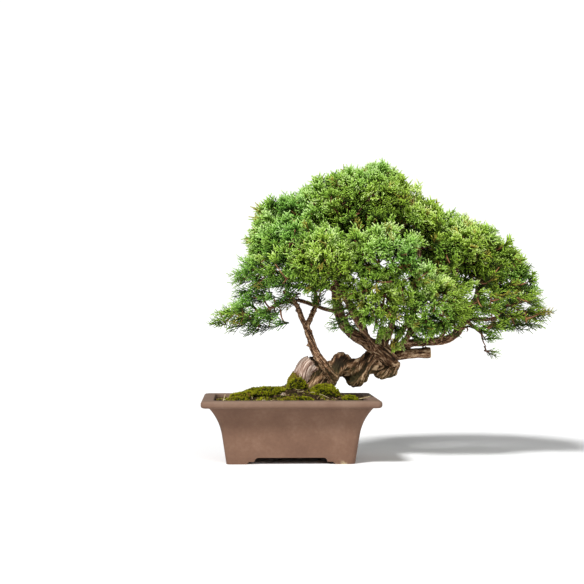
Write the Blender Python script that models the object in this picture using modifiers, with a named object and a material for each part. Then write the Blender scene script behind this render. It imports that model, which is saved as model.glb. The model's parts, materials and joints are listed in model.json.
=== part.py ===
"""A juniper bonsai with a corkscrew trunk, leaning out of a flared clay pot.

Run it with blender --background --python part.py, or from Blender's text editor.
Sizes are in millimetres and become metres as the shapes are made. The pot and all that it
holds are set out from the centre of the pot's foot ring, and the tree from the foot of its trunk.
At the end the whole is shifted, so that the world's origin is under the middle of its box.
"""

import math

import bmesh
import bpy
from mathutils import Matrix, Vector, noise

MM = 0.001

# Pot
POT_LENGTH = 200.0
POT_DEPTH = 155.0
POT_HEIGHT = 72.0
POT_WALL = 6.5
FLOOR_UNDERSIDE = 7.8
FLOOR_THICKNESS = 7.0
OUTER_CORNER = 6.0
INNER_CORNER = 9.0
CORNER_STEPS = 5
RIM_HEIGHT = 8.2
RIM_WIDTH = 14.0
RIM_ROUNDING = 3.2
RIM_EDGE_ROUNDING = 1.5
RIM_OVERHANG = 8.6  # from the rim's edge to the top of the wall
FOOT_INSET = 28.0  # from the rim's edge to the foot's, seen from above
FLARE_START = 30.0  # the height where the nearly straight wall begins to curve outwards
FLARE_POWER = 2.4
WALL_TAPER = 0.15
FOOT_LENGTH = 22.4
FOOT_STEP_HEIGHT = 3.2
FOOT_STEP_LENGTH = 6.0
FOOT_STEP_SLOPE = 2.8
FRONT_ARCH_DROP = 0.4  # how much lower the front and back arches are than the side ones

# Drainage
HOLE_RADIUS = 7.5
HOLE_OFFSET = 36.0  # from the pot's centre to each hole
SCREEN_OPENINGS = 5  # along each side, an odd number
SCREEN_OPENING = 3.0
SCREEN_BAR = 1.0
SCREEN_THICKNESS = 0.9
CLIP_RADIUS = 0.5
CLIP_TAIL = 2.5  # how far a clip's ends reach past the edge of the hole

# Soil, moss and pebbles
SOIL_BELOW_RIM = 4.6
MOUND_HEIGHT = 16.0
MOUND_SHARE = 0.93  # of the soil's length and depth
FIT_GAP = 0.3
MOSS_GAP = 0.6  # between the moss and the soil
SOFT_GAP = 1.2  # left round the uneven shapes of wood, moss and foliage
CUTTER_EXTRA = 2.0

# Tree
TREE_HEIGHT = 270.0  # from the trunk's foot to the top of the crown
DRAWN_HEIGHT = 270.0  # the height that the limb and pad lists below are drawn at
TRUNK_FOOT_X = 8.0
COIL_TURNS = 2.8
COIL_PITCH = 34.4
COIL_RADIUS = 10.0
COIL_TIGHTENING = 0.5  # millimetres of coil radius lost in each turn
COIL_RISE = 1.2  # what the coil rises in its first turn; the rise grows with the square
COIL_STRAND = 9.7
COIL_HEART = 10.0  # radius of the wood that fills the middle of the coil
COIL_STEPS = 12  # in each turn
WOOD_VOXEL = 1.3
WOOD_TRIANGLES = 4000
PAD_LUMPS = 0.16
SPLINE_STEPS = 4

# Each limb: points in millimetres from the trunk's foot, with the limb's radius at each.
STUMP = [(-6, 3, -24, 12.5), (-3, 1, -8, 13.0), (0, 0, 6, 12.0), (4, -2, 20, 11.2), (10, -2, 33, 10.6)]
COIL_START = (17.0, 29.0)
CROWN_OF_COIL = [(109, -9, 40, 9.2), (102, -10, 49, 9.0), (95, -7, 57, 8.6), (90, -4, 60, 8.0)]
LIMBS = {
    "shoulder": [(104, -6, 44, 8.2), (99, -7, 57, 7.8), (98, -7, 69, 6.2), (101, -8, 80, 4.4)],
    "leader": [
        (92, -4, 54, 7.8), (80, 2, 64, 7.5), (68, 6, 71, 7.0), (57, 8, 80, 6.5), (51, 8, 94, 5.9),
        (47, 6, 111, 5.5), (47, 4, 129, 5.2), (53, 2, 148, 4.8), (63, 0, 169, 4.2),
        (72, 0, 192, 3.6), (78, 0, 213, 3.0), (84, 0, 229, 2.3),
    ],
    "right_arm": [
        (100, 0, 44, 6.6), (116, -2, 56, 5.5), (133, -4, 62, 4.9), (152, -4, 63, 4.5),
        (169, -2, 65, 4.4), (183, 0, 71, 4.4), (194, 2, 86, 4.5), (203, 4, 102, 4.4),
        (210, 4, 116, 4.1), (213, 2, 135, 3.7), (210, 0, 155, 3.1), (203, 0, 172, 2.3),
    ],
    "buttress": [(4, 0, -12, 10.0), (12, -2, 2, 10.0), (19, -3, 12, 9.0), (27, -3, 22, 8.0)],
    "sawn_stub": [(101, 0, 43, 6.4), (117, -4, 48, 6.0), (133, -8, 50, 6.0), (154, -10, 51, 6.2)],
    "second_trunk": [
        (41, -12, 22, 6.2), (33, -19, 34, 5.4), (24, -20, 47, 4.8), (18, -19, 59, 4.5),
        (14, -19, 71, 4.0), (10, -20, 82, 3.8),
    ],
    "fork_left": [
        (11, -20, 79, 3.6), (5, -22, 91, 3.1), (1, -24, 102, 2.8), (-5, -25, 111, 2.5),
        (-16, -26, 122, 2.1),
    ],
    "fork_right": [
        (10, -20, 80, 3.4), (15, -18, 90, 3.0), (19, -15, 99, 2.8), (22, -12, 110, 2.5),
        (20, -12, 126, 2.1),
    ],
    "low_reach": [
        (49, 6, 98, 2.5), (33, -2, 101, 2.2), (15, -10, 107, 2.1), (-1, -18, 111, 2.0),
        (-20, -24, 107, 1.9), (-34, -28, 100, 1.9),
    ],
    "left_bough": [
        (47, 5, 121, 3.6), (29, -4, 131, 3.0), (10, -12, 141, 2.7), (-4, -16, 154, 2.4),
        (-14, -18, 168, 2.1),
    ],
    "left_low_bough": [(10, -12, 141, 2.5), (-8, -18, 140, 2.3), (-24, -22, 137, 2.0)],
    "upper_left_bough": [(56, 2, 155, 3.4), (42, 8, 174, 2.8), (28, 10, 192, 2.3)],
    "inner_bough": [
        (69, 0, 183, 3.2), (89, -8, 177, 2.8), (109, -12, 179, 2.6), (118, -10, 192, 2.4),
        (128, -4, 202, 2.1),
    ],
    "front_left_bough": [
        (90, -8, 56, 3.9), (81, -18, 68, 3.4), (71, -30, 81, 3.0), (60, -42, 98, 2.7),
        (48, -52, 120, 2.4), (36, -58, 138, 2.1),
    ],
    "front_bough": [
        (99, -2, 54, 3.8), (105, -6, 70, 3.3), (110, -12, 86, 3.0), (110, -26, 106, 2.7),
        (104, -42, 128, 2.4), (98, -54, 146, 2.1),
    ],
    "front_twig": [(109, -20, 97, 2.4), (102, -34, 101, 2.2), (94, -46, 106, 2.0)],
    "middle_bough": [
        (108, 0, 50, 3.9), (122, -6, 62, 3.5), (129, -10, 73, 3.2), (132, -10, 91, 3.0),
        (136, -6, 111, 2.8), (140, 0, 134, 2.6), (143, 4, 164, 2.4), (142, 6, 190, 2.1),
    ],
    "low_front_twig": [(128, -8, 70, 2.6), (136, -20, 80, 2.3), (143, -34, 92, 2.0)],
    "upright_twig": [
        (165, -4, 65, 2.6), (175, -10, 86, 2.3), (180, -12, 107, 2.1), (182, -10, 130, 2.0),
        (186, -6, 156, 1.9),
    ],
    "right_low_twig": [
        (197, 2, 91, 2.7), (212, -2, 89, 2.4), (228, -6, 90, 2.1), (240, -7, 95, 1.9),
    ],
    "right_bough": [(212, 2, 126, 2.9), (222, 4, 134, 2.5), (232, 6, 142, 2.1)],
    "drooping_twig": [(196, 2, 88, 2.2), (206, 1, 80, 2.0), (214, 0, 73, 1.9)],
    "back_left_bough": [
        (82, 4, 64, 4.0), (78, 24, 84, 3.5), (66, 42, 108, 3.0), (50, 56, 136, 2.5),
        (40, 64, 160, 2.1),
    ],
    "back_right_bough": [
        (110, 2, 56, 3.8), (122, 20, 72, 3.3), (140, 38, 96, 2.9), (156, 52, 126, 2.5),
        (163, 60, 152, 2.1),
    ],
    "back_top_bough": [(63, 0, 169, 3.1), (78, 20, 182, 2.7), (90, 42, 194, 2.1)],
    "root_front": [(-4, 2, -14, 7.0), (2, -18, -19, 4.6), (8, -34, -25, 3.0)],
    "root_left": [(-4, 2, -14, 7.2), (-26, 0, -20, 4.8), (-44, -6, -27, 3.0)],
    "root_back": [(-4, 2, -14, 6.8), (2, 22, -20, 4.4), (10, 38, -27, 3.0)],
    "root_right": [(-2, 2, -12, 6.4), (18, 8, -20, 4.4), (34, 10, -28, 3.0)],
}

# Each foliage pad: its centre from the trunk's foot and its half sizes, all in millimetres.
# A pad yields to the ones listed before it where they meet.
PADS = {
    "foliage_top": ((84, 0, 232), (48, 54, 38)),
    "foliage_front_right": ((96, -60, 161), (40, 31, 32)),
    "foliage_front_left": ((26, -60, 153), (39, 31, 35)),
    "foliage_upper_left": ((20, 6, 209), (50, 48, 34)),
    "foliage_upper_right": ((137, 2, 205), (35, 44, 26)),
    "foliage_right_top": ((197, 0, 173), (42, 48, 31)),
    "foliage_left": ((-13, -12, 178), (44, 44, 32)),
    "foliage_right": ((242, 6, 145), (31, 40, 29)),
    "foliage_left_low": ((-34, -24, 140), (39, 34, 20)),
    "foliage_low_right": ((150, -46, 104), (40, 33, 37)),
    "foliage_centre_low": ((86, -54, 109), (30, 26, 28)),
    "foliage_right_low": ((251, -6, 101), (35, 34, 22)),
    "foliage_back_left": ((34, 66, 176), (48, 31, 40)),
    "foliage_back_right": ((166, 64, 170), (46, 33, 40)),
    "foliage_back_top": ((97, 56, 206), (42, 33, 32)),
    "foliage_low_reach": ((-52, -30, 95), (42, 17, 12)),
    "foliage_drooping_tip": ((219, 0, 62), (9, 8, 15)),
}

# Each cushion of moss: its centre as shares of the soil's half length and half depth,
# its half sizes in millimetres, and how far its middle stands above the soil's edge.
MOSS = {
    "moss_collar": ((0.11, -0.17), (12, 9, 17), 11),
    "moss_front_right": ((0.46, -0.24), (17, 14, 11), 8),
    "moss_front_left": ((-0.24, -0.30), (20, 13, 9), 8),
    "moss_left": ((-0.58, -0.14), (19, 16, 7), 4),
    "moss_far_left": ((-0.70, -0.58), (13, 11, 5), 1),
    "moss_back": ((0.10, 0.42), (22, 13, 10), 8),
    "moss_back_left": ((-0.40, 0.48), (18, 14, 8), 5),
    "moss_right": ((0.78, -0.42), (10, 9, 6), 1),
    "moss_front_edge": ((0.10, -0.70), (20, 9, 6), 1),
}

# Each pebble: its centre as shares of the soil's half length and half depth, and its radius.
PEBBLES = {
    "pebble_pale": ((-0.10, -0.62), 3.4),
    "pebble_brown": ((-0.36, -0.78), 2.8),
    "pebble_grey": ((0.62, 0.30), 3.2),
    "pebble_small": ((-0.82, 0.30), 2.4),
}

COLOURS = {
    "clay": ((0.22, 0.125, 0.085), 0.85),
    "soil": ((0.06, 0.035, 0.02), 0.95),
    "bark": ((0.16, 0.095, 0.055), 0.9),
    "foliage": ((0.06, 0.16, 0.025), 0.6),
    "moss": ((0.09, 0.11, 0.01), 0.9),
    "stone": ((0.42, 0.36, 0.28), 0.8),
    "mesh_plastic": ((0.03, 0.03, 0.03), 0.5),
    "wire": ((0.5, 0.3, 0.2), 0.35),
}

TREE_SCALE = TREE_HEIGHT / DRAWN_HEIGHT
SOIL_LEVEL = POT_HEIGHT - SOIL_BELOW_RIM
TRUNK_FOOT = Vector((TRUNK_FOOT_X, 0.0, SOIL_LEVEL + SOIL_BELOW_RIM))
FLOOR_TOP = FLOOR_UNDERSIDE + FLOOR_THICKNESS
RIM_UNDERSIDE = POT_HEIGHT - RIM_HEIGHT


# ---------------------------------------------------------------- scene and materials


def clear_scene():
    for obj in list(bpy.data.objects):
        bpy.data.objects.remove(obj, do_unlink=True)


def new_collection(name):
    collection = bpy.data.collections.new(name)
    bpy.context.scene.collection.children.link(collection)
    return collection


def material(name):
    """The named Principled BSDF, made the first time that it is asked for."""
    made = bpy.data.materials.get(name)
    if made is None:
        colour, roughness = COLOURS[name]
        made = bpy.data.materials.new(name)
        made.use_nodes = True
        shader = made.node_tree.nodes["Principled BSDF"]
        shader.inputs["Base Color"].default_value = (*colour, 1.0)
        shader.inputs["Roughness"].default_value = roughness
        shader.inputs["Metallic"].default_value = 1.0 if name == "wire" else 0.0
    return made


def link_mesh(name, mesh, collection):
    obj = bpy.data.objects.new(name, mesh)
    collection.objects.link(obj)
    return obj


def object_from_bmesh(name, bm, collection):
    mesh = bpy.data.meshes.new(name)
    bm.to_mesh(mesh)
    bm.free()
    return link_mesh(name, mesh, collection)


def evaluated_mesh(obj):
    """A plain mesh of the object with its modifiers and bevels in it, and touching points made one."""
    graph = bpy.context.evaluated_depsgraph_get()
    mesh = bpy.data.meshes.new_from_object(obj.evaluated_get(graph))
    bm = bmesh.new()
    bm.from_mesh(mesh)
    bmesh.ops.remove_doubles(bm, verts=bm.verts, dist=0.01 * MM)
    bm.to_mesh(mesh)
    bm.free()
    return mesh


def bake(obj):
    """Replaces the object's modifiers with the mesh that they make."""
    mesh = evaluated_mesh(obj)
    obj.modifiers.clear()
    obj.data = mesh
    return obj


def boolean(obj, other, operation):
    modifier = obj.modifiers.new(other.name, "BOOLEAN")
    modifier.operation = operation
    modifier.solver = "EXACT"
    modifier.object = other
    return bake(obj)


def hide(obj):
    obj.hide_render = True
    obj.display_type = "WIRE"


def finish(obj, slot, smooth_degrees=35.0):
    obj.data.materials.clear()
    obj.data.materials.append(material(slot))
    obj.data.shade_smooth()
    obj.data.set_sharp_from_angle(angle=math.radians(smooth_degrees))
    return obj


# ---------------------------------------------------------------- pot


def wall_inset(z):
    """How far the pot's outer wall stands inside its rim's edge at height z."""
    straight = FOOT_INSET - WALL_TAPER * z
    top_inset = FOOT_INSET - WALL_TAPER * RIM_UNDERSIDE
    rise = max(0.0, z - FLARE_START) / (RIM_UNDERSIDE - FLARE_START)
    return straight - (top_inset - RIM_OVERHANG) * rise**FLARE_POWER


def steps(start, end, count):
    return [start + (end - start) * i / count for i in range(count + 1)]


def arc(centre_inset, centre_z, radius, from_degrees, to_degrees, count):
    """(inset, z) points on a quarter round; 0 degrees points outwards and 90 up."""
    angles = [math.radians(a) for a in steps(from_degrees, to_degrees, count)]
    return [(centre_inset - radius * math.cos(a), centre_z + radius * math.sin(a)) for a in angles]


def pot_outline():
    """(inset, z) levels of the outside, from the feet up to the top of the rim."""
    levels = [(wall_inset(z), z) for z in steps(0.0, FLARE_START, 3)]
    levels += [(wall_inset(z), z) for z in steps(FLARE_START, RIM_UNDERSIDE, 7)[1:]]
    levels += arc(RIM_ROUNDING, RIM_UNDERSIDE + RIM_ROUNDING, RIM_ROUNDING, -80, 0, 3)
    levels += arc(RIM_ROUNDING, POT_HEIGHT - RIM_ROUNDING, RIM_ROUNDING, 10, 90, 3)
    return levels


def cavity_outline(gap, top):
    """(inset, z) levels of the inside, from the floor up to top, standing gap inside the pot."""
    heights = steps(FLOOR_TOP, RIM_UNDERSIDE, 6)
    levels = [(max(wall_inset(z) + POT_WALL, RIM_WIDTH) + gap, max(z, FLOOR_TOP + gap)) for z in heights]
    return levels + [(RIM_WIDTH + gap, RIM_UNDERSIDE + RIM_EDGE_ROUNDING), (RIM_WIDTH + gap, top)]


def mouth_outline():
    """(inset, z) levels of the rounded inner edge of the rim, and on up past its top."""
    r = RIM_EDGE_ROUNDING
    return arc(RIM_WIDTH - r, POT_HEIGHT - r, r, 150, 90, 2) + [(RIM_WIDTH - r, POT_HEIGHT + CUTTER_EXTRA)]


def rounded_rectangle(half_length, half_depth, corner):
    """Corner points of a rectangle with rounded corners, all the way round."""
    made = []
    for turn in range(4):
        centre_x = (half_length - corner) * (1 if turn in (0, 3) else -1)
        centre_y = (half_depth - corner) * (1 if turn in (0, 1) else -1)
        for degrees in steps(90.0 * turn, 90.0 * (turn + 1), CORNER_STEPS):
            a = math.radians(degrees)
            made.append((centre_x + corner * math.cos(a), centre_y + corner * math.sin(a)))
    return made


def rounded_block(name, levels, corner, collection):
    """A block with rounded upright corners, drawn up from its base one level at a time."""
    inset, z = levels[0]
    bm = bmesh.new()
    outline = rounded_rectangle(POT_LENGTH / 2 - inset, POT_DEPTH / 2 - inset, corner)
    base = bm.faces.new([bm.verts.new((x * MM, y * MM, z * MM)) for x, y in outline])
    top = [base]
    for next_inset, next_z in levels[1:]:
        grow = (inset - next_inset) * MM
        raised = bmesh.ops.extrude_face_region(bm, geom=top)["geom"]
        for vert in [g for g in raised if isinstance(g, bmesh.types.BMVert)]:
            vert.co.x += grow * math.copysign(1.0, vert.co.x)
            vert.co.y += grow * math.copysign(1.0, vert.co.y)
            vert.co.z = next_z * MM
        if top != [base]:
            bmesh.ops.delete(bm, geom=top, context="FACES_ONLY")
        top = [g for g in raised if isinstance(g, bmesh.types.BMFace)]
        inset = next_inset
    bmesh.ops.recalc_face_normals(bm, faces=bm.faces[:])
    return object_from_bmesh(name, bm, collection)


def foot_arch_outline(half_side, drop):
    """Half of the opening between two feet, from the middle outwards, as (along, z)."""
    toe = half_side - FOOT_LENGTH
    step = toe - FOOT_STEP_SLOPE
    spring = step - FOOT_STEP_LENGTH
    ledge = FOOT_STEP_HEIGHT - drop
    rise = FLOOR_UNDERSIDE - FOOT_STEP_HEIGHT
    angles = [math.radians(d) for d in (0, 30, 60, 90)]
    cove = [(spring - rise + rise * math.sin(a), ledge + rise * math.cos(a)) for a in angles]
    return cove + [(step, ledge), (toe, 0.0), (toe + FOOT_STEP_SLOPE, -CUTTER_EXTRA)]


def prism(name, outline, half_length, collection):
    """A flat outline in X and Z, drawn out along Y to both sides."""
    curve = bpy.data.curves.new(name, "CURVE")
    curve.dimensions = "2D"
    curve.fill_mode = "BOTH"
    curve.extrude = half_length * MM
    spline = curve.splines.new("POLY")
    spline.points.add(len(outline) - 1)
    for point, (x, z) in zip(spline.points, outline):
        point.co = (x * MM, z * MM, 0.0, 1.0)
    spline.use_cyclic_u = True
    flat = bpy.data.objects.new(name + "_curve", curve)
    collection.objects.link(flat)
    mesh = evaluated_mesh(flat)
    bpy.data.objects.remove(flat, do_unlink=True)
    mesh.transform(Matrix.Rotation(math.radians(90), 4, "X"))
    return link_mesh(name, mesh, collection)


def make_pot(pieces, cutters):
    pot = rounded_block("pot", pot_outline(), OUTER_CORNER, pieces)
    inside = cavity_outline(0.0, POT_HEIGHT - RIM_EDGE_ROUNDING) + mouth_outline()
    cavity = rounded_block("cavity", inside, INNER_CORNER, cutters)
    boolean(pot, cavity, "DIFFERENCE")
    hide(cavity)
    for name, half_side, across, turn, drop in (
        ("arch_side", POT_DEPTH / 2 - FOOT_INSET, POT_LENGTH / 2, 90.0, 0.0),
        ("arch_front", POT_LENGTH / 2 - FOOT_INSET, POT_DEPTH / 2, 0.0, FRONT_ARCH_DROP),
    ):
        half = foot_arch_outline(half_side, drop)
        arch = prism(name, half + [(-x, z) for x, z in reversed(half)], across, cutters)
        arch.data.transform(Matrix.Rotation(math.radians(turn), 4, "Z"))
        hide(arch)
        boolean(pot, arch, "DIFFERENCE")
    for number, x in enumerate((-HOLE_OFFSET, HOLE_OFFSET)):
        bpy.ops.mesh.primitive_cylinder_add(
            vertices=24, radius=HOLE_RADIUS * MM, depth=4 * FLOOR_TOP * MM, location=(x * MM, 0.0, 0.0)
        )
        drill = bpy.context.object
        drill.name = f"drill_{number}"
        move_to(drill, cutters)
        hide(drill)
        boolean(pot, drill, "DIFFERENCE")
    return finish(pot, "clay")


def move_to(obj, collection):
    for owner in list(obj.users_collection):
        owner.objects.unlink(obj)
    collection.objects.link(obj)


# ---------------------------------------------------------------- drainage screens and clips


def box(name, size, centre, collection):
    bm = bmesh.new()
    bmesh.ops.create_cube(bm, size=1.0)
    bmesh.ops.scale(bm, verts=bm.verts, vec=Vector(size) * MM)
    bmesh.ops.translate(bm, verts=bm.verts, vec=Vector(centre) * MM)
    return object_from_bmesh(name, bm, collection)


def screen_side():
    return SCREEN_OPENINGS * SCREEN_OPENING + (SCREEN_OPENINGS + 1) * SCREEN_BAR


def make_screen(name, hole_x, pieces, cutters):
    """A square of plastic mesh that lies on the floor over a hole."""
    middle = FLOOR_TOP + FIT_GAP + SCREEN_THICKNESS / 2
    screen = box(name, (screen_side(), screen_side(), SCREEN_THICKNESS), (hole_x, 0.0, middle), pieces)
    pitch = SCREEN_OPENING + SCREEN_BAR
    bm = bmesh.new()
    for i in range(SCREEN_OPENINGS):
        for j in range(SCREEN_OPENINGS):
            cube = bmesh.ops.create_cube(bm, size=1.0)["verts"]
            size = Vector((SCREEN_OPENING, SCREEN_OPENING, 4 * SCREEN_THICKNESS))
            bmesh.ops.scale(bm, verts=cube, vec=size * MM)
            x, y = (i - (SCREEN_OPENINGS - 1) / 2) * pitch, (j - (SCREEN_OPENINGS - 1) / 2) * pitch
            bmesh.ops.translate(bm, verts=cube, vec=Vector((x + hole_x, y, middle)) * MM)
    openings = object_from_bmesh(name + "_openings", bm, cutters)
    hide(openings)
    boolean(screen, openings, "DIFFERENCE")
    return finish(screen, "mesh_plastic")


def clip_leg():
    """How far each leg stands from the hole's axis: it goes down the middle of a screen opening."""
    return SCREEN_OPENING + SCREEN_BAR


def clip_top():
    return FLOOR_TOP + FIT_GAP + SCREEN_THICKNESS + FIT_GAP + CLIP_RADIUS


def make_clip(name, hole_x, pieces):
    """A wire staple over the screen, down through the hole and bent out under the floor."""
    leg = clip_leg()
    under = FLOOR_UNDERSIDE - FIT_GAP - CLIP_RADIUS
    top = clip_top()
    half = [(0.0, top), (leg - 1.5, top), (leg - 0.4, top - 0.4), (leg, top - 1.5)]
    half += [(leg, under + 1.2), (leg + 0.35, under + 0.35), (leg + 1.2, under)]
    half.append((HOLE_RADIUS + CLIP_TAIL, under))
    path = [(hole_x - x, 0.0, z, CLIP_RADIUS) for x, z in reversed(half[1:])]
    path += [(hole_x + x, 0.0, z, CLIP_RADIUS) for x, z in half]
    return finish(tube(name, path, pieces, resolution=1), "wire")


# ---------------------------------------------------------------- tubes, limbs and the wood


def smooth_path(points, count=SPLINE_STEPS):
    """Catmull-Rom points through (x, y, z, radius) points, count of them for each span."""
    knots = [Vector(p) for p in points]
    knots = [2 * knots[0] - knots[1], *knots, 2 * knots[-1] - knots[-2]]
    made = []
    for a, b, c, d in zip(knots, knots[1:], knots[2:], knots[3:]):
        for i in range(count):
            t = i / count
            square, cube = 2 * a - 5 * b + 4 * c - d, 3 * b - a - 3 * c + d
            made.append(0.5 * (2 * b + (c - a) * t + square * t**2 + cube * t**3))
    return [*made, knots[-2]]


def tube(name, path, collection, resolution=2):
    """A round tube along (x, y, z, radius) points, closed at both ends."""
    curve = bpy.data.curves.new(name, "CURVE")
    curve.dimensions = "3D"
    curve.bevel_depth = MM
    curve.bevel_resolution = resolution
    curve.use_fill_caps = True
    spline = curve.splines.new("POLY")
    spline.points.add(len(path) - 1)
    for point, (x, y, z, radius) in zip(spline.points, path):
        point.co = (x * MM, y * MM, z * MM, 1.0)
        point.radius = radius
    drawn = bpy.data.objects.new(name + "_curve", curve)
    collection.objects.link(drawn)
    mesh = evaluated_mesh(drawn)
    bpy.data.objects.remove(drawn, do_unlink=True)
    return link_mesh(name, mesh, collection)


def coil_path():
    """The corkscrew: it rises on the front, passes over the top and falls behind, going right."""
    start_x, start_z = COIL_START
    path = []
    for i in range(int(COIL_TURNS * COIL_STEPS) + 1):
        turn = i / COIL_STEPS
        radius = COIL_RADIUS - COIL_TIGHTENING * turn
        angle = 2 * math.pi * turn
        rise = start_z + COIL_RISE * turn**2
        swell = COIL_STRAND + 0.7 * math.cos(angle * 2) - 0.2 * turn
        forward, height = radius * math.sin(angle), rise + radius * math.cos(angle)
        path.append((start_x + COIL_PITCH * turn, forward, height, swell))
    return path


def coil_heart():
    """The wood in the middle of the corkscrew, where its turns have grown together."""
    start_x, start_z = COIL_START
    return [
        (start_x + COIL_PITCH * turn, 1.0, start_z + 1.5 + COIL_RISE * turn**2, COIL_HEART)
        for turn in steps(0.0, COIL_TURNS - 0.1, 12)
    ]


def placed(points):
    """Tree points, grown to the tree's height and moved to where the trunk stands."""
    return [
        (*(TRUNK_FOOT + TREE_SCALE * Vector(p[:3])), TREE_SCALE * p[3]) for p in points
    ]


def make_wood(pieces, cutters):
    """Trunk, limbs and roots: tubes fused into the one body that they grew as.

    Returns a helper that stands a gap outside the wood, for cutting what touches it.
    """
    coil = coil_path()
    paths = [smooth_path(placed(STUMP + coil[:1])), placed(coil), placed(coil_heart())]
    paths.append(smooth_path(placed(coil[-1:] + CROWN_OF_COIL)))
    paths += [smooth_path(placed(points)) for points in LIMBS.values()]
    bm = bmesh.new()
    for path in paths:
        limb = tube("limb", path, cutters)
        bm.from_mesh(limb.data)
        bpy.data.objects.remove(limb, do_unlink=True)
    wood = fused(object_from_bmesh("trunk_and_limbs", bm, pieces))
    room = link_mesh("wood_room", wood.data.copy(), cutters)
    push = room.modifiers.new("gap", "DISPLACE")
    push.strength = SOFT_GAP * MM
    push.mid_level = 0.0
    thinned(fused(room), 2 * WOOD_TRIANGLES)
    hide(room)
    finish(thinned(wood, WOOD_TRIANGLES), "bark", smooth_degrees=60.0)
    return room


def fused(obj):
    """Makes one skin of tubes or folds that run through each other."""
    fuse = obj.modifiers.new("fuse", "REMESH")
    fuse.mode = "VOXEL"
    fuse.voxel_size = WOOD_VOXEL * TREE_SCALE * MM
    return bake(obj)


def thinned(obj, wanted):
    """Brings the object down to about the wanted number of triangles."""
    triangles = sum(len(p.vertices) - 2 for p in obj.data.polygons)
    thin = obj.modifiers.new("thin", "DECIMATE")
    thin.ratio = min(1.0, wanted / triangles)
    return bake(obj)


# ---------------------------------------------------------------- soil, moss and pebbles


def lump(name, centre, half_sizes, collection, subdivisions=2, lumpiness=0.0, seed=0.0):
    """An uneven ellipsoid."""
    bm = bmesh.new()
    bmesh.ops.create_icosphere(bm, subdivisions=subdivisions, radius=1.0)
    for vert in bm.verts:
        bulge = noise.noise(vert.co * 1.7 + Vector((seed, seed * 0.7, -seed)))
        vert.co *= 1.0 + lumpiness * bulge
        vert.co = Vector(a * b for a, b in zip(vert.co, half_sizes)) * MM + Vector(centre) * MM
    return object_from_bmesh(name, bm, collection)


def soil_reach():
    """Half the length and half the depth of the soil's surface."""
    inset = RIM_WIDTH + FIT_GAP
    return POT_LENGTH / 2 - inset, POT_DEPTH / 2 - inset


def soil_top(x, y):
    """The height of the soil's surface over (x, y)."""
    half_length, half_depth = soil_reach()
    across = ((x - TRUNK_FOOT_X) / half_length) ** 2 + (y / half_depth) ** 2
    return SOIL_LEVEL + MOUND_HEIGHT * max(0.0, 1.0 - across / 0.8) ** 1.5


def make_soil(wood_room, pieces, cutters):
    """Soil that fills the pot, heaped round the trunk, with a pocket over each drainage hole.

    Returns a helper that stands a gap outside the soil, for cutting what lies on it.
    """
    soil = rounded_block("soil", cavity_outline(FIT_GAP, SOIL_LEVEL), INNER_CORNER, pieces)
    half_length, half_depth = soil_reach()
    bm = bmesh.new()
    bmesh.ops.create_grid(bm, x_segments=14, y_segments=10, size=1.0)
    for vert in bm.verts:
        vert.co.x *= half_length * MOUND_SHARE * MM
        vert.co.y *= half_depth * MOUND_SHARE * MM
    surface = bm.faces[:]
    raised = bmesh.ops.extrude_face_region(bm, geom=surface)["geom"]
    top = {g for g in raised if isinstance(g, bmesh.types.BMVert)}
    for vert in bm.verts:
        x, y = vert.co.x / MM, vert.co.y / MM
        vert.co.z = (soil_top(x, y) + 0.4 if vert in top else SOIL_LEVEL - 1.0) * MM
    bmesh.ops.recalc_face_normals(bm, faces=bm.faces[:])
    mound = object_from_bmesh("mound", bm, cutters)
    hide(mound)
    boolean(soil, mound, "UNION")
    room = link_mesh("soil_room", soil.data.copy(), cutters)
    hide(room)
    lift = Matrix.Translation((0.0, 0.0, MOSS_GAP * MM))
    room.data.transform(lift @ Matrix.Diagonal((1.01, 1.01, 1.0, 1.0)))
    side = screen_side() + 2 * FIT_GAP
    pocket_top = clip_top() + CLIP_RADIUS + FIT_GAP
    for number, x in enumerate((-HOLE_OFFSET, HOLE_OFFSET)):
        size = (side, side, 2 * (pocket_top - FLOOR_TOP))
        pocket = box(f"pocket_{number}", size, (x, 0.0, FLOOR_TOP), cutters)
        hide(pocket)
        boolean(soil, pocket, "DIFFERENCE")
    boolean(soil, wood_room, "DIFFERENCE")
    finish(soil, "soil")
    return room


def make_moss(rooms, pieces, cutters):
    """Cushions that grow on the soil and against the trunk."""
    half_length, half_depth = soil_reach()
    shapes = []
    for name, (share, half_sizes, lift) in MOSS.items():
        centre = (share[0] * half_length, share[1] * half_depth, SOIL_LEVEL + lift)
        shapes.append((name, centre, half_sizes, 0.22))
    make_lumps(shapes, "moss", rooms, pieces, cutters)


def make_lumps(shapes, slot, rooms, pieces, cutters):
    """Lumps that yield to the rooms given, and then to the lumps made before them."""
    rooms = list(rooms)
    for seed, (name, centre, half_sizes, lumpiness) in enumerate(shapes):
        piece = lump(name, centre, half_sizes, pieces, 2, lumpiness, seed * 1.3)
        for room in rooms:
            boolean(piece, room, "DIFFERENCE")
        keep_largest(piece)
        finish(piece, slot, smooth_degrees=50.0)
        roomy = [s + SOFT_GAP for s in half_sizes]
        room = lump(name + "_room", centre, roomy, cutters, 2, lumpiness, seed * 1.3)
        hide(room)
        rooms.append(room)


def keep_largest(obj):
    """Drops the scraps that a cut leaves on the far side of what it cut with."""
    bm = bmesh.new()
    bm.from_mesh(obj.data)
    unseen, islands = set(bm.verts), []
    while unseen:
        island, frontier = set(), [unseen.pop()]
        while frontier:
            vert = frontier.pop()
            island.add(vert)
            for edge in vert.link_edges:
                other = edge.other_vert(vert)
                if other in unseen:
                    unseen.discard(other)
                    frontier.append(other)
        islands.append(island)
    islands.sort(key=len)
    for island in islands[:-1]:
        bmesh.ops.delete(bm, geom=list(island), context="VERTS")
    bm.to_mesh(obj.data)
    bm.free()


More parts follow.
